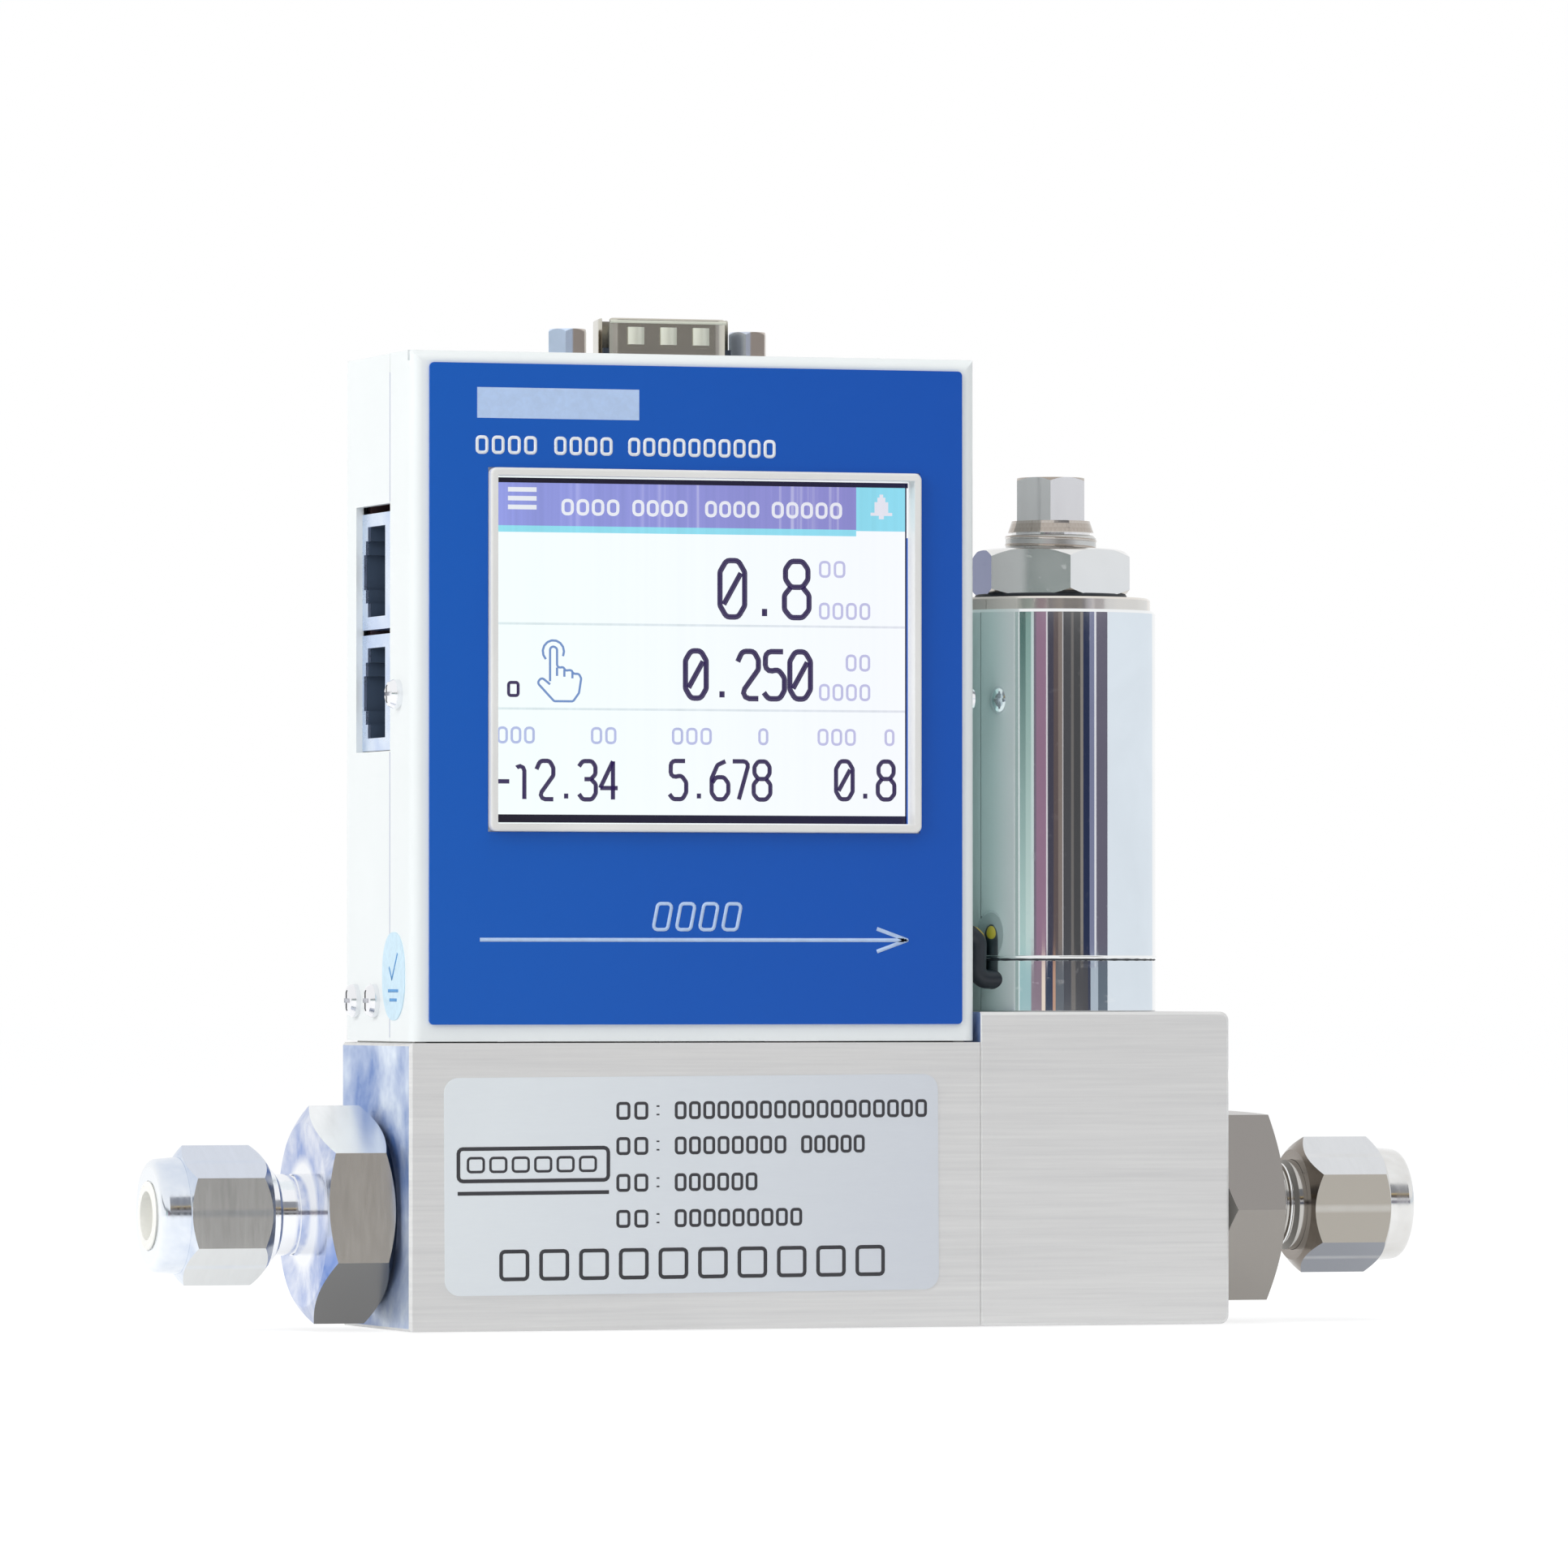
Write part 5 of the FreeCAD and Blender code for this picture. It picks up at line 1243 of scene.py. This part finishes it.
NUMERAL_WIDE = 0.46
ZERO = [(0.0, 0.2), (0.0, 0.8), (0.12, 1.0), (0.34, 1.0), (0.46, 0.8), (0.46, 0.2), (0.34, 0.0), (0.12, 0.0),
        (0.0, 0.2)]
NUMERALS: dict[str, list[Line]] = {
    "0": [ZERO, [(0.07, 0.22), (0.39, 0.78)]],
    "1": [[(0.04, 0.82), (0.25, 1.0), (0.25, 0.0)]],
    "2": [[(0.0, 0.78), (0.1, 1.0), (0.36, 1.0), (0.46, 0.82), (0.46, 0.62), (0.0, 0.0), (0.46, 0.0)]],
    "3": [[(0.0, 0.86), (0.1, 1.0), (0.36, 1.0), (0.45, 0.86), (0.45, 0.66), (0.33, 0.53), (0.15, 0.53)],
          [(0.33, 0.53), (0.46, 0.4), (0.46, 0.16), (0.36, 0.0), (0.1, 0.0), (0.0, 0.14)]],
    "4": [[(0.35, 0.0), (0.35, 1.0)], [(0.35, 1.0), (0.0, 0.3)], [(0.0, 0.3), (0.48, 0.3)]],
    "5": [[(0.43, 1.0), (0.04, 1.0), (0.03, 0.56), (0.33, 0.62), (0.46, 0.44), (0.46, 0.18), (0.36, 0.0),
           (0.1, 0.0), (0.0, 0.13)]],
    "6": [[(0.38, 1.0), (0.16, 0.9), (0.0, 0.55), (0.0, 0.17), (0.12, 0.0), (0.34, 0.0), (0.46, 0.17),
           (0.46, 0.42), (0.34, 0.58), (0.12, 0.58), (0.02, 0.44)]],
    "7": [[(0.0, 1.0), (0.46, 1.0), (0.17, 0.0)]],
    "8": [[(0.12, 0.54), (0.02, 0.68), (0.02, 0.86), (0.12, 1.0), (0.34, 1.0), (0.44, 0.86), (0.44, 0.68),
           (0.34, 0.54), (0.12, 0.54)],
          [(0.12, 0.54), (0.0, 0.4), (0.0, 0.14), (0.12, 0.0), (0.34, 0.0), (0.46, 0.14), (0.46, 0.4),
           (0.34, 0.54)]],
    "-": [[(0.08, 0.46), (0.42, 0.46)]],
    ".": [[(0.23, 0.02), (0.23, 0.15)]],
}


def numeral_lines(text: str, right: float, low: float, high: float, step: float) -> list[Line]:
    """Places numerals so that they end at a given edge.

    Args:
        text: The number.
        right: The right edge.
        low: The lower edge.
        high: The numerals' height.
        step: The distance from one numeral to the next.

    Returns:
        The numerals' lines in the drawing's plane.
    """
    lines = []
    for count, mark in enumerate(reversed(text)):
        left = right - count * step - NUMERAL_WIDE * high
        lines += [[(left + x * high, low + y * high) for x, y in line] for line in NUMERALS[mark]]
    return lines


def outline(left: float, low: float, wide: float, high: float) -> Line:
    """Gives a closed rectangle's line, the plain sign that stands where print is left off.

    Args:
        left: The left edge.
        low: The lower edge.
        wide: The width.
        high: The height.

    Returns:
        The corners, the first one repeated.
    """
    return [(left, low), (left + wide, low), (left + wide, low + high), (left, low + high), (left, low)]


def outlines(spans: list[Span], low: float, high: float, pitch: float, share: float = 0.62) -> list[Line]:
    """Fills spans of a row with small plain signs.

    Args:
        spans: Start and end of each span.
        low: The row's lower edge.
        high: The signs' height.
        pitch: About how far the signs stand apart.
        share: The signs' width as a share of the pitch.

    Returns:
        The signs' closed lines.
    """
    signs = []
    for start, end in spans:
        count = max(1, round((end - start) / pitch))
        step = (end - start) / count
        signs += [outline(start + i * step, low, step * share, high) for i in range(count)]
    return signs


@dataclass
class DisplayPicture:
    """What the display shows: a header, plain numbers between faint rules, and unlabelled marks."""

    shop: Workshop
    glass_y: float = -14.75
    layer_step: float = 0.012
    left: float = -44.75
    right: float = 11.6
    low: float = 67.3
    high: float = 110.6
    header_low: float = 105.0
    header_right: float = 4.8
    line_high: float = 0.85
    rim: tuple[float, float, float, float] = (-45.0, 66.25, 12.0, 111.25)
    rim_thin: float = 0.2
    edge_high: float = 104.0

    def layer(self, order: int) -> Sheet:
        """Gives a printed layer; later layers lie a hair nearer."""
        return Sheet(self.shop, (0.0, self.glass_y - self.layer_step * (order + 1), 0.0), "display_picture")

    def build(self) -> None:
        """Builds every field of the picture."""
        self.fields()
        self.numbers()
        self.signs()

    def fields(self) -> None:
        """Builds the header, the cyan corner and line, the rules, the dark rim, the menu and the bell."""
        left, right, high = self.left, self.right, self.high
        header_right, header_low = self.header_right, self.header_low
        rim_left, rim_low, rim_right, rim_high = self.rim
        sheet = self.layer(0)
        sheet.bars("display_header", "header_glow", [(left, header_low, header_right, high)])
        sheet.bars("display_corner", "cyan_glow", [
            (header_right, header_low - 0.15, right, high),
            (left, header_low - self.line_high, header_right, header_low)])
        sheet.bars("display_rules", "rule_glow", [(left, 92.05, right, 92.35), (left, 80.95, right, 81.25)])
        sheet.bars("display_border", "border_glow", [
            (rim_left, rim_low, right + 0.25, self.low), (rim_left, high, rim_right, rim_high),
            (right, rim_low, right + self.rim_thin, rim_high), (rim_left, rim_low, left, rim_high)])
        sheet.bars("display_edge", "edge_glow", [(right + self.rim_thin, rim_low, rim_right, self.edge_high)])
        menu = [(-43.1, z, -39.2, z + 0.6) for z in (107.1, 108.25, 109.4)]
        bell = [(6.8, 106.9, 9.8, 107.3), (7.35, 107.3, 9.25, 108.7), (7.75, 108.7, 8.85, 109.3),
                (8.05, 109.3, 8.55, 109.7), (7.95, 106.45, 8.65, 106.9)]
        self.layer(1).bars("display_menu", "white_glow", menu + bell)

    def numbers(self) -> None:
        """Draws the plain numbers."""
        sheet = self.layer(1)
        large = numeral_lines("0.8", -1.75, 93.35, 7.4, 4.45) + numeral_lines("0.250", -1.55, 82.65, 6.2, 3.6)
        sheet.draw("display_large_numbers", "digit_glow", large, 0.72, 0.8)
        values = (("-12.34", -28.2, 69.3), ("5.678", -7.1, 69.4), ("0.8", 10.1, 69.5))
        small = [line for value in values for line in numeral_lines(*value, 5.0, 2.9)]
        sheet.draw("display_small_numbers", "digit_glow", small, 0.58, 0.6)

    def signs(self) -> None:
        """Draws the plain signs where the display names its values, and the touch hand."""
        sheet = self.layer(1)
        title = outlines([(-35.6, -27.3), (-25.9, -18.0), (-15.9, -8.1), (-6.7, 3.4)], 106.6, 1.75, 2.0)
        sheet.draw("display_title_signs", "white_glow", title, 0.42, 0.5)
        rows = [(98.8, [(-0.2, 3.9)]), (93.3, [(-0.2, 7.3)]), (86.5, [(3.5, 7.3)]), (82.6, [(-0.2, 7.3)]),
                (76.7, [(-44.4, -38.9), (-31.6, -27.7), (-20.5, -14.6), (-8.6, -6.9), (-0.4, 5.3),
                        (8.9, 10.6)])]
        named = [sign for low, spans in rows for sign in outlines(spans, low, 1.9, 1.9)]
        sheet.draw("display_value_signs", "lavender_glow", named, 0.34, 0.45)
        sheet.draw("display_touch_sign", "icon_glow", self.hand(), 0.3, 0.4)
        sheet.draw("display_state_sign", "digit_glow", [outline(-43.0, 82.8, 1.3, 1.7)], 0.42, 0.3)

    @staticmethod
    def hand() -> list[Line]:
        """An outlined hand that points up, its folded fingers and a touch ring.

        Returns:
            The hand's lines.
        """
        outer = [(-37.35, 84.7), (-37.35, 89.0), (-36.95, 89.3), (-36.4, 89.0), (-36.4, 86.4), (-35.5, 86.6),
                 (-35.3, 86.1), (-34.4, 86.2), (-34.2, 85.7), (-33.4, 85.7), (-33.1, 85.1), (-33.4, 83.2),
                 (-34.2, 82.1), (-36.8, 82.1), (-39.1, 84.5), (-38.5, 85.2), (-37.35, 84.3)]
        folds = [[(x, high), (x, low)]
                 for x, high, low in ((-35.4, 86.2, 85.3), (-34.3, 85.9, 85.1), (-36.4, 86.5, 85.4))]
        ring = [(-36.9 + 1.45 * math.cos(a), 88.6 + 1.45 * math.sin(a))
                for a in (math.radians(d) for d in range(-25, 226, 25))]
        return [outer, ring] + folds


@dataclass
class FrontPrint:
    """Print on the blue film: a plain field and small plain signs at the top, and the flow arrow."""

    shop: Workshop
    film_y: float = -16.16
    arrow_z: float = 50.95
    arrow_from: float = -47.3
    arrow_to: float = 11.4
    arrow_width: float = 0.5
    arrow_depth: float = 0.03
    head_long: float = 4.2
    head_half: float = 1.5
    shaft_short: float = 0.4
    caption_z: float = 52.3
    caption_slant: float = 0.2

    def build(self) -> None:
        """Builds the arrow and the generic print."""
        place = (0.0, self.film_y, 0.0)
        tip, back = self.arrow_to, self.arrow_to - self.head_long
        head = [(back, self.arrow_z + self.head_half), (tip, self.arrow_z),
                (back, self.arrow_z - self.head_half)]
        shaft = [(self.arrow_from, self.arrow_z), (tip - self.shaft_short, self.arrow_z)]
        Sheet(self.shop, place, "blue_film", depth=self.arrow_depth).draw(
            "flow_arrow", "pale_blue_ink", [shaft, head], self.arrow_width, 0.01)
        sheet = Sheet(self.shop, place, "blue_film")
        sheet.bars("top_mark_field", "pale_blue_ink", [(-47.7, 118.9, -25.6, 122.9)])
        words = outlines([(-47.7, -38.9), (-37.0, -28.6), (-26.9, -6.2)], 114.4, 2.0, 2.1, 0.6)
        sheet.draw("top_signs", "white_ink", words, 0.42, 0.4)
        caption = [[(x + self.caption_slant * (z - self.caption_z), z) for x, z in line]
                   for line in outlines([(-23.7, -11.0)], self.caption_z, 3.4, 3.3)]
        sheet.draw("arrow_signs", "pale_blue_ink", caption, 0.45, 0.5)


@dataclass
class LabelPrint:
    """Print on the silver label: plain signs in the rows where such labels carry their data."""

    shop: Workshop
    label_y: float = -16.155
    middle: float = -18.15
    lean: float = 0.3
    sign_high: float = 1.95
    colon_x: float = -23.0
    rows: list[tuple[float, list[Span]]] = field(default_factory=lambda: [
        (27.7, [(-20.5, 14.7)]), (23.1, [(-20.5, -4.8), (-3.1, 6.0)]), (18.3, [(-20.5, -8.8)]),
        (13.6, [(-20.5, -2.6)])])

    def tilted(self, lines: list[Line]) -> list[Line]:
        """Lifts lines along the label, so that rows follow its lean."""
        slope = math.tan(math.radians(self.lean))
        return [[(x, z + (x - self.middle) * slope) for x, z in line] for line in lines]

    def build(self) -> None:
        """Builds the rows, the plain mark field and the foot row."""
        signs = [[(self.colon_x, low + dot), (self.colon_x, low + dot + 0.2)]
                 for low, _ in self.rows for dot in (0.35, 1.45)]
        for low, spans in self.rows:
            signs += outlines([(-28.5, -23.6)], low, self.sign_high, 2.45)
            signs += outlines(spans, low, self.sign_high, 1.95)
        sheet = Sheet(self.shop, (0.0, self.label_y, 0.0), "silver_label")
        for name, lines, width, rounding in (
            ("label_rows", signs, 0.4, 0.35),
            ("label_mark_field", [outline(-50.2, 19.7, 20.4, 4.2), [(-50.3, 18.1), (-29.7, 18.1)]], 0.5, 0.6),
            ("label_mark_signs", outlines([(-48.9, -30.6)], 20.9, 1.8, 3.0, 0.7), 0.34, 0.4),
            ("label_foot_signs", outlines([(-44.4, 9.9)], 6.9, 3.6, 5.43, 0.66), 0.5, 0.5),
        ):
            sheet.draw(name, "dark_ink", self.tilted(lines), width, rounding)


@dataclass
class StickerPrint:
    """Print on the oval sticker: a tick and two short strips."""

    shop: Workshop
    centre: Point3 = (-56.63, -7.8, 46.2)

    def build(self) -> None:
        """Draws the tick over its strips."""
        tick = [(-1.9, 1.2), (-0.6, -0.4), (2.0, 3.0)]
        strips = [[(-2.4, -1.9), (2.4, -1.9)], [(-1.7, -3.1), (1.7, -3.1)]]
        sheet = Sheet(self.shop, self.centre, "blue_sticker", Face.LEFT)
        sheet.draw("sticker_tick", "blue_ink", [tick] + strips, 0.4, 0.05)


@dataclass
class ConnectorShell:
    """The connector shell's pressed dimples and its rolled upper edge, on its front, in a lighter nickel as
    painted highlights.
    """

    shop: Workshop
    front_y: float = -3.49
    dimple_y: float = -3.61
    dimples: tuple[float, ...] = (-22.1, -17.6, -13.1)
    dimple_wide: float = 2.2
    low: float = 129.6
    high: float = 131.9
    proud: float = 0.27
    edge_z: float = 132.6
    edge_from: float = -25.6
    edge_to: float = -9.6
    edge_proud: float = 0.05

    def build(self) -> None:
        """Draws the dimples, real relief, and the edge, in a lighter nickel as painted highlights."""
        marks = [[(x, self.low), (x, self.high)] for x in self.dimples]
        edge = [[(self.edge_from, self.edge_z), (self.edge_to, self.edge_z)]]
        # Painted highlight: the raised dimples and the edge line are lighter than the shell.
        Sheet(self.shop, (0.0, self.dimple_y, 0.0), "nickel_plate", depth=self.proud).draw(
            "dsub_dimples", "nickel_light", marks, self.dimple_wide, 0.3)
        Sheet(self.shop, (0.0, self.front_y, 0.0), "nickel_plate", depth=self.edge_proud).draw(
            "dsub_rolled_edge", "nickel_light", edge, 0.4, 0.01)


@dataclass
class ShellSeam:
    """The shaded line where the two halves of the housing meet, on its left side."""

    shop: Workshop
    start: Point3 = (-56.51, -5.79, 0.0)
    runs: tuple[Span, ...] = ((38.2, 75.5), (108.3, 125.2))
    thin: float = 0.015

    def build(self) -> None:
        """Draws the line above and below the connector opening."""
        lines = [[(0.0, low), (0.0, high)] for low, high in self.runs]
        Sheet(self.shop, self.start, "white_paint", Face.LEFT, self.thin).draw(
            "shell_seam_line", "seam_shadow", lines, 0.2, 0.01)


@dataclass
class Threads:
    """Ridges wound round an axis: two threads, the sleeve's rolled lip, and two dark rings of painted shade
    in the sleeve's joint and under the lock nut.
    """

    shop: Workshop
    outlet_from: float = 68.5
    outlet: Coil = Coil(5.45, pitch=0.9, turns=1.6)
    upright: tuple[tuple[str, str, float, Coil], ...] = (
        ("lock_thread", "stem_steel", 103.4, Coil(5.9, pitch=1.0, turns=1.6)),
        ("sleeve_lip", "valve_chrome", 48.75, Coil(13.9)),
        # Painted shade: dark rings where the sleeve's joint and the gap under the lock nut fall in shadow.
        ("sleeve_joint_ring", "black_rubber", 48.42, Coil(13.87, 0.13)),
        ("nut_seal_ring", "black_rubber", 96.98, Coil(9.9, 0.3)),
    )

    def build(self) -> None:
        """Winds the outlet's thread along the outlet, and the other ridges round the valve's axis."""
        self.shop.wind("outlet_thread", "outlet_nut_steel", "fitting_steel", self.outlet,
                       (self.outlet_from * MM, 0.0, OUTLET_AXIS[2]), (0.0, math.pi / 2, 0.0))
        for name, finish, height, coil in self.upright:
            self.shop.wind(name, finish, finish, coil, (VALVE_AXIS[0], 0.0, height * MM))


@dataclass
class ClosingSpring:
    """The plunger's spring, wound as one fixed coil."""

    shop: Workshop
    low: float = 63.88
    high: float = 71.72
    turns: float = 4.0
    radius: float = 2.1
    wire: float = 0.3

    def build(self) -> None:
        """Winds the spring in place of the frame's rigid one."""
        foot, head = ((VALVE_AXIS[0], 0.0, z * MM) for z in (self.low, self.high))
        coil = Coil(self.radius, self.wire, (self.high - self.low) / self.turns, self.turns)
        spring = self.shop.wind("closing_spring", "inner_steel", "inner_steel", coil, foot, bend=(foot, head))
        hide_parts("plunger_spring")


@dataclass
class Castings:
    """The frame's own pieces, dressed."""

    shop: Workshop

    def build(self, nodes: dict[str, Piece]) -> None:
        """Gives every node its finish.

        Args:
            nodes: The frame's nodes by name.
        """
        for finish, names in NODE_FINISHES.items():
            for name in names:
                node = nodes[name]
                if not node.material_slots:
                    node.data.materials.append(None)
                for slot in node.material_slots:
                    slot.material = self.shop.paints[finish]
                log.info("%s dressed as %s", name, finish)


@dataclass(frozen=True)
class Card:
    """An upright curved card that only mirrors see, in degrees right of the camera as seen from the valve."""

    start: float
    end: float
    low: float
    high: float
    lower: RGBA
    upper: RGBA


def cards(low: float, high: float, bands: list[tuple[float, float, tuple[int, int, int]]]) -> list[Card]:
    """Makes plain cards of one height.

    Args:
        low: Their lower edge in metres.
        high: Their upper edge.
        bands: First and last direction of each, and its screen colour.

    Returns:
        The cards.
    """
    return [Card(start, end, low, high, tint(*colour), tint(*colour)) for start, end, colour in bands]


SLEEVE_CARDS = [
    Card(-34.4, -27.5, 0.0505, 0.1275, tint(186, 212, 208), tint(60, 98, 92)),
    Card(-27.5, -21.5, 0.0505, 0.1275, tint(204, 224, 220), tint(124, 160, 152)),
] + cards(0.0505, 0.1275, [
    (-42.0, -35.6, (158, 174, 172)), (-35.6, -34.4, (246, 248, 249)), (-21.5, -18.5, (205, 222, 220)),
    (-18.5, -16.0, (120, 110, 125)), (-16.0, -5.0, (152, 120, 143)), (-5.0, -3.5, (236, 232, 236)),
    (-3.5, 3.0, (74, 72, 86)), (3.0, 8.0, (100, 88, 88)), (8.0, 12.5, (134, 122, 116)),
    (12.5, 13.5, (204, 202, 204)), (13.5, 22.0, (80, 80, 84)), (22.0, 25.0, (118, 114, 112)),
    (25.0, 32.5, (78, 78, 80)), (32.5, 35.7, (142, 136, 130)), (35.7, 42.9, (46, 54, 82)),
    (42.9, 48.6, (128, 132, 160)), (48.6, 51.0, (232, 232, 238)),
    (51.0, 64.8, (108, 104, 120)), (64.8, 150.0, (232, 240, 248)),
])
RING_CARDS = cards(0.034, 0.0505, [
    (-42.0, -35.6, (150, 168, 166)), (-35.6, -34.4, (230, 240, 242)), (-34.4, -21.5, (158, 194, 198)),
    (-21.5, -10.0, (142, 124, 138)), (-10.0, -6.0, (244, 226, 210)), (-6.0, 2.0, (52, 62, 86)),
    (2.0, 5.0, (200, 158, 134)), (5.0, 14.0, (104, 110, 118)), (14.0, 22.0, (82, 84, 92)),
    (22.0, 27.0, (120, 116, 114)), (27.0, 41.0, (84, 84, 88)), (41.0, 44.0, (70, 74, 92)),
    (44.0, 53.0, (180, 192, 204)), (53.0, 64.8, (104, 116, 128)), (64.8, 150.0, (228, 236, 244)),
])
NUT_CARDS = cards(0.1285, 0.1405, [
    (-70.0, -35.9, (178, 178, 176)), (-35.9, -35.2, (144, 168, 162)), (-35.2, -10.0, (92, 92, 90)),
    (-10.0, 40.0, (150, 150, 150)), (60.0, 120.0, (236, 236, 240)),
])
STEM_CARDS = cards(0.141, 0.2, [
    (-95.0, -62.0, (112, 117, 124)), (-62.0, -40.0, (156, 160, 166)), (-40.0, 0.0, (110, 110, 112)),
    (0.0, 40.0, (170, 170, 172)), (40.0, 57.2, (232, 233, 239)), (57.2, 57.6, (252, 252, 255)),
    (57.6, 58.0, (212, 214, 224)), (58.0, 58.3, (176, 178, 188)), (58.3, 80.0, (240, 241, 246)),
])
NECK_CARDS = [cards(low, high, [(10.0, 60.0, colour)])[0] for low, high, colour in (
    (0.2, 0.3, (84, 74, 70)), (0.3, 0.335, (224, 198, 140)), (0.335, 0.72, (142, 144, 150)))]


@dataclass
class Studio:
    """Camera, soft light, pale floor and what bright metal mirrors."""

    aim: Point3 = (-0.36, 0.0, 71.74)
    side_turn: float = 18.18
    upward: float = 1.02
    distance: float = 1458.0
    lens: float = 252.0
    sensor: float = 36.0
    fill: float = 0.56
    floor_half: float = 9.0
    floor_drop: float = 0.0002
    floor_tone: RGBA = tint(236, 237, 238)
    floor_glow: float = 1.32
    floor_share: float = 0.62
    lamp_aim: Point3 = (0.0, 0.0, 0.07)
    lamp_size: float = 0.9
    card_distance: float = 0.9
    card_step: float = 3.0
    valve_sight: float = 1.4

    @staticmethod
    def look(piece: Piece, place: Vector, ahead: Vector) -> None:
        """Places a camera or a lamp and turns it to look ahead."""
        piece.location = place
        piece.rotation_euler = ahead.to_track_quat("-Z", "Y").to_euler()

    def camera(self) -> None:
        """Puts the camera at the photograph's place."""
        turn, rise = math.radians(self.side_turn), math.radians(self.upward)
        ahead = Vector((math.sin(turn) * math.cos(rise), math.cos(turn) * math.cos(rise), math.sin(rise)))
        data = bpy.data.cameras.new("camera")
        data.lens = self.lens
        data.sensor_width = self.sensor
        data.clip_start, data.clip_end = 0.05, 30.0
        camera = Workshop.link("camera", data)
        self.look(camera, (Vector(self.aim) - ahead * self.distance) * MM, ahead)
        bpy.context.scene.camera = camera

    @staticmethod
    def seen(graph: Graph) -> Socket:
        """Gives 1 for rays that show the background: straight, mirrored or through glass.

        Args:
            graph: The graph to add to.

        Returns:
            The value.
        """
        path = graph.add("ShaderNodeLightPath").outputs
        straight = graph.maths("MAXIMUM", path["Is Camera Ray"], path["Is Glossy Ray"])
        return graph.maths("MAXIMUM", straight, path["Is Transmission Ray"])

    def world(self) -> None:
        """White where it shows, and softer as light."""
        world = bpy.data.worlds.new("studio")
        world.use_nodes = True
        bpy.context.scene.world = world
        graph = Graph(world.node_tree)
        shine = world.node_tree.nodes["Background"].inputs
        graph.fill(shine["Color"], WHITE)
        graph.fill(shine["Strength"], graph.spread(self.seen(graph), 0.0, 1.0, (self.fill, 1.0)))

    @staticmethod
    def material(name: str) -> tuple[bpy.types.Material, Graph]:
        """Starts a stage material and gives its graph too.

        Args:
            name: The material's name.

        Returns:
            The material and its graph.
        """
        material = bpy.data.materials.new(name)
        material.use_nodes = True
        return material, Graph(material.node_tree)

    def floor(self) -> None:
        """Pale floor that turns white in view and keeps the object's shadow."""
        half = self.floor_half
        mesh = bpy.data.meshes.new("floor")
        square = [(-half, -half, 0), (half, -half, 0), (half, half, 0), (-half, half, 0)]
        mesh.from_pydata(square, [], [(0, 1, 2, 3)])
        floor = Workshop.link("floor", mesh)
        floor.location.z = -self.floor_drop
        material, graph = self.material("floor_paper")
        nodes = material.node_tree.nodes
        nodes.remove(nodes["Principled BSDF"])
        paper = graph.add("ShaderNodeBsdfDiffuse", {"Color": self.floor_tone})
        glow = graph.add("ShaderNodeEmission", {"Color": WHITE, "Strength": self.floor_glow})
        share = graph.maths("MULTIPLY", self.seen(graph), self.floor_share)
        mixed = graph.add("ShaderNodeMixShader", {0: share, 1: paper.outputs[0], 2: glow.outputs[0]})
        graph.link(mixed.outputs[0], nodes["Material Output"].inputs["Surface"])
        mesh.materials.append(material)

    def lamp(self, name: str, place: Point3, power: float, colour: RGBA) -> None:
        """Adds a soft lamp aimed at the object, not mirrored in it.

        Args:
            name: The lamp's name.
            place: Where it hangs, in metres.
            power: Its power in watts.
            colour: Its colour.
        """
        data = bpy.data.lights.new(name, "AREA")
        data.shape = "DISK"
        data.size = self.lamp_size
        data.energy = power
        data.color = colour[:3]
        lamp = Workshop.link(name, data)
        self.look(lamp, Vector(place), Vector(self.lamp_aim) - Vector(place))
        lamp.visible_glossy = False

    def card(self, name: str, card: Card) -> None:
        """Stands one card up round the valve.

        Args:
            name: The card's name.
            card: Its place and colours.
        """
        steps = max(2, round(abs(card.end - card.start) / self.card_step))
        points = []
        for index in range(steps + 1):
            turn = card.start + (card.end - card.start) * index / steps - self.side_turn - self.valve_sight
            angle = math.radians(turn)
            spot = Vector(VALVE_AXIS) + Vector((math.sin(angle), -math.cos(angle), 0.0)) * self.card_distance
            points += [(spot.x, spot.y, card.low), (spot.x, spot.y, card.high)]
        mesh = bpy.data.meshes.new(name)
        mesh.from_pydata(points, [], [(2 * i, 2 * i + 2, 2 * i + 3, 2 * i + 1) for i in range(steps)])
        piece = Workshop.link(name, mesh)
        material, graph = self.material(name)
        up = graph.split(graph.add("ShaderNodeTexCoord").outputs["Object"])["Z"]
        glow = graph.blend(graph.spread(up, card.low, card.high), card.lower, card.upper)
        for title, value in (("Base Color", (0.0, 0.0, 0.0, 1.0)), ("Specular IOR Level", 0.0),
                             ("Emission Color", glow), ("Emission Strength", 1.0)):
            graph.fill(material.node_tree.nodes["Principled BSDF"].inputs[title], value)
        mesh.materials.append(material)
        for ray in ("camera", "diffuse", "shadow", "transmission", "volume_scatter"):
            setattr(piece, "visible_" + ray, False)

    def build(self) -> None:
        """Sets up the whole studio."""
        self.camera()
        self.world()
        self.floor()
        self.lamp("key_lamp", (-1.05, -0.35, 0.55), 7.0, tint(255, 254, 252))
        self.lamp("top_lamp", (0.1, -0.5, 1.2), 4.0, WHITE)
        for index, card in enumerate(SLEEVE_CARDS + RING_CARDS + NUT_CARDS + STEM_CARDS + NECK_CARDS):
            self.card(f"card_{index}", card)


def main() -> None:
    """Loads the frame, builds the studio and each sub-assembly."""
    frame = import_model()
    Studio().build()
    shop = Workshop()
    Castings(shop).build(frame["nodes"])
    for assembly in (DisplayPicture, FrontPrint, LabelPrint, StickerPrint, ShellSeam, ConnectorShell, Threads,
                     ClosingSpring):
        assembly(shop).build()
    scene = bpy.context.scene
    scene.view_settings.view_transform = "Standard"
    bpy.context.view_layer.update()


if __name__ == "__main__":
    logging.basicConfig(level=logging.INFO)
    main()
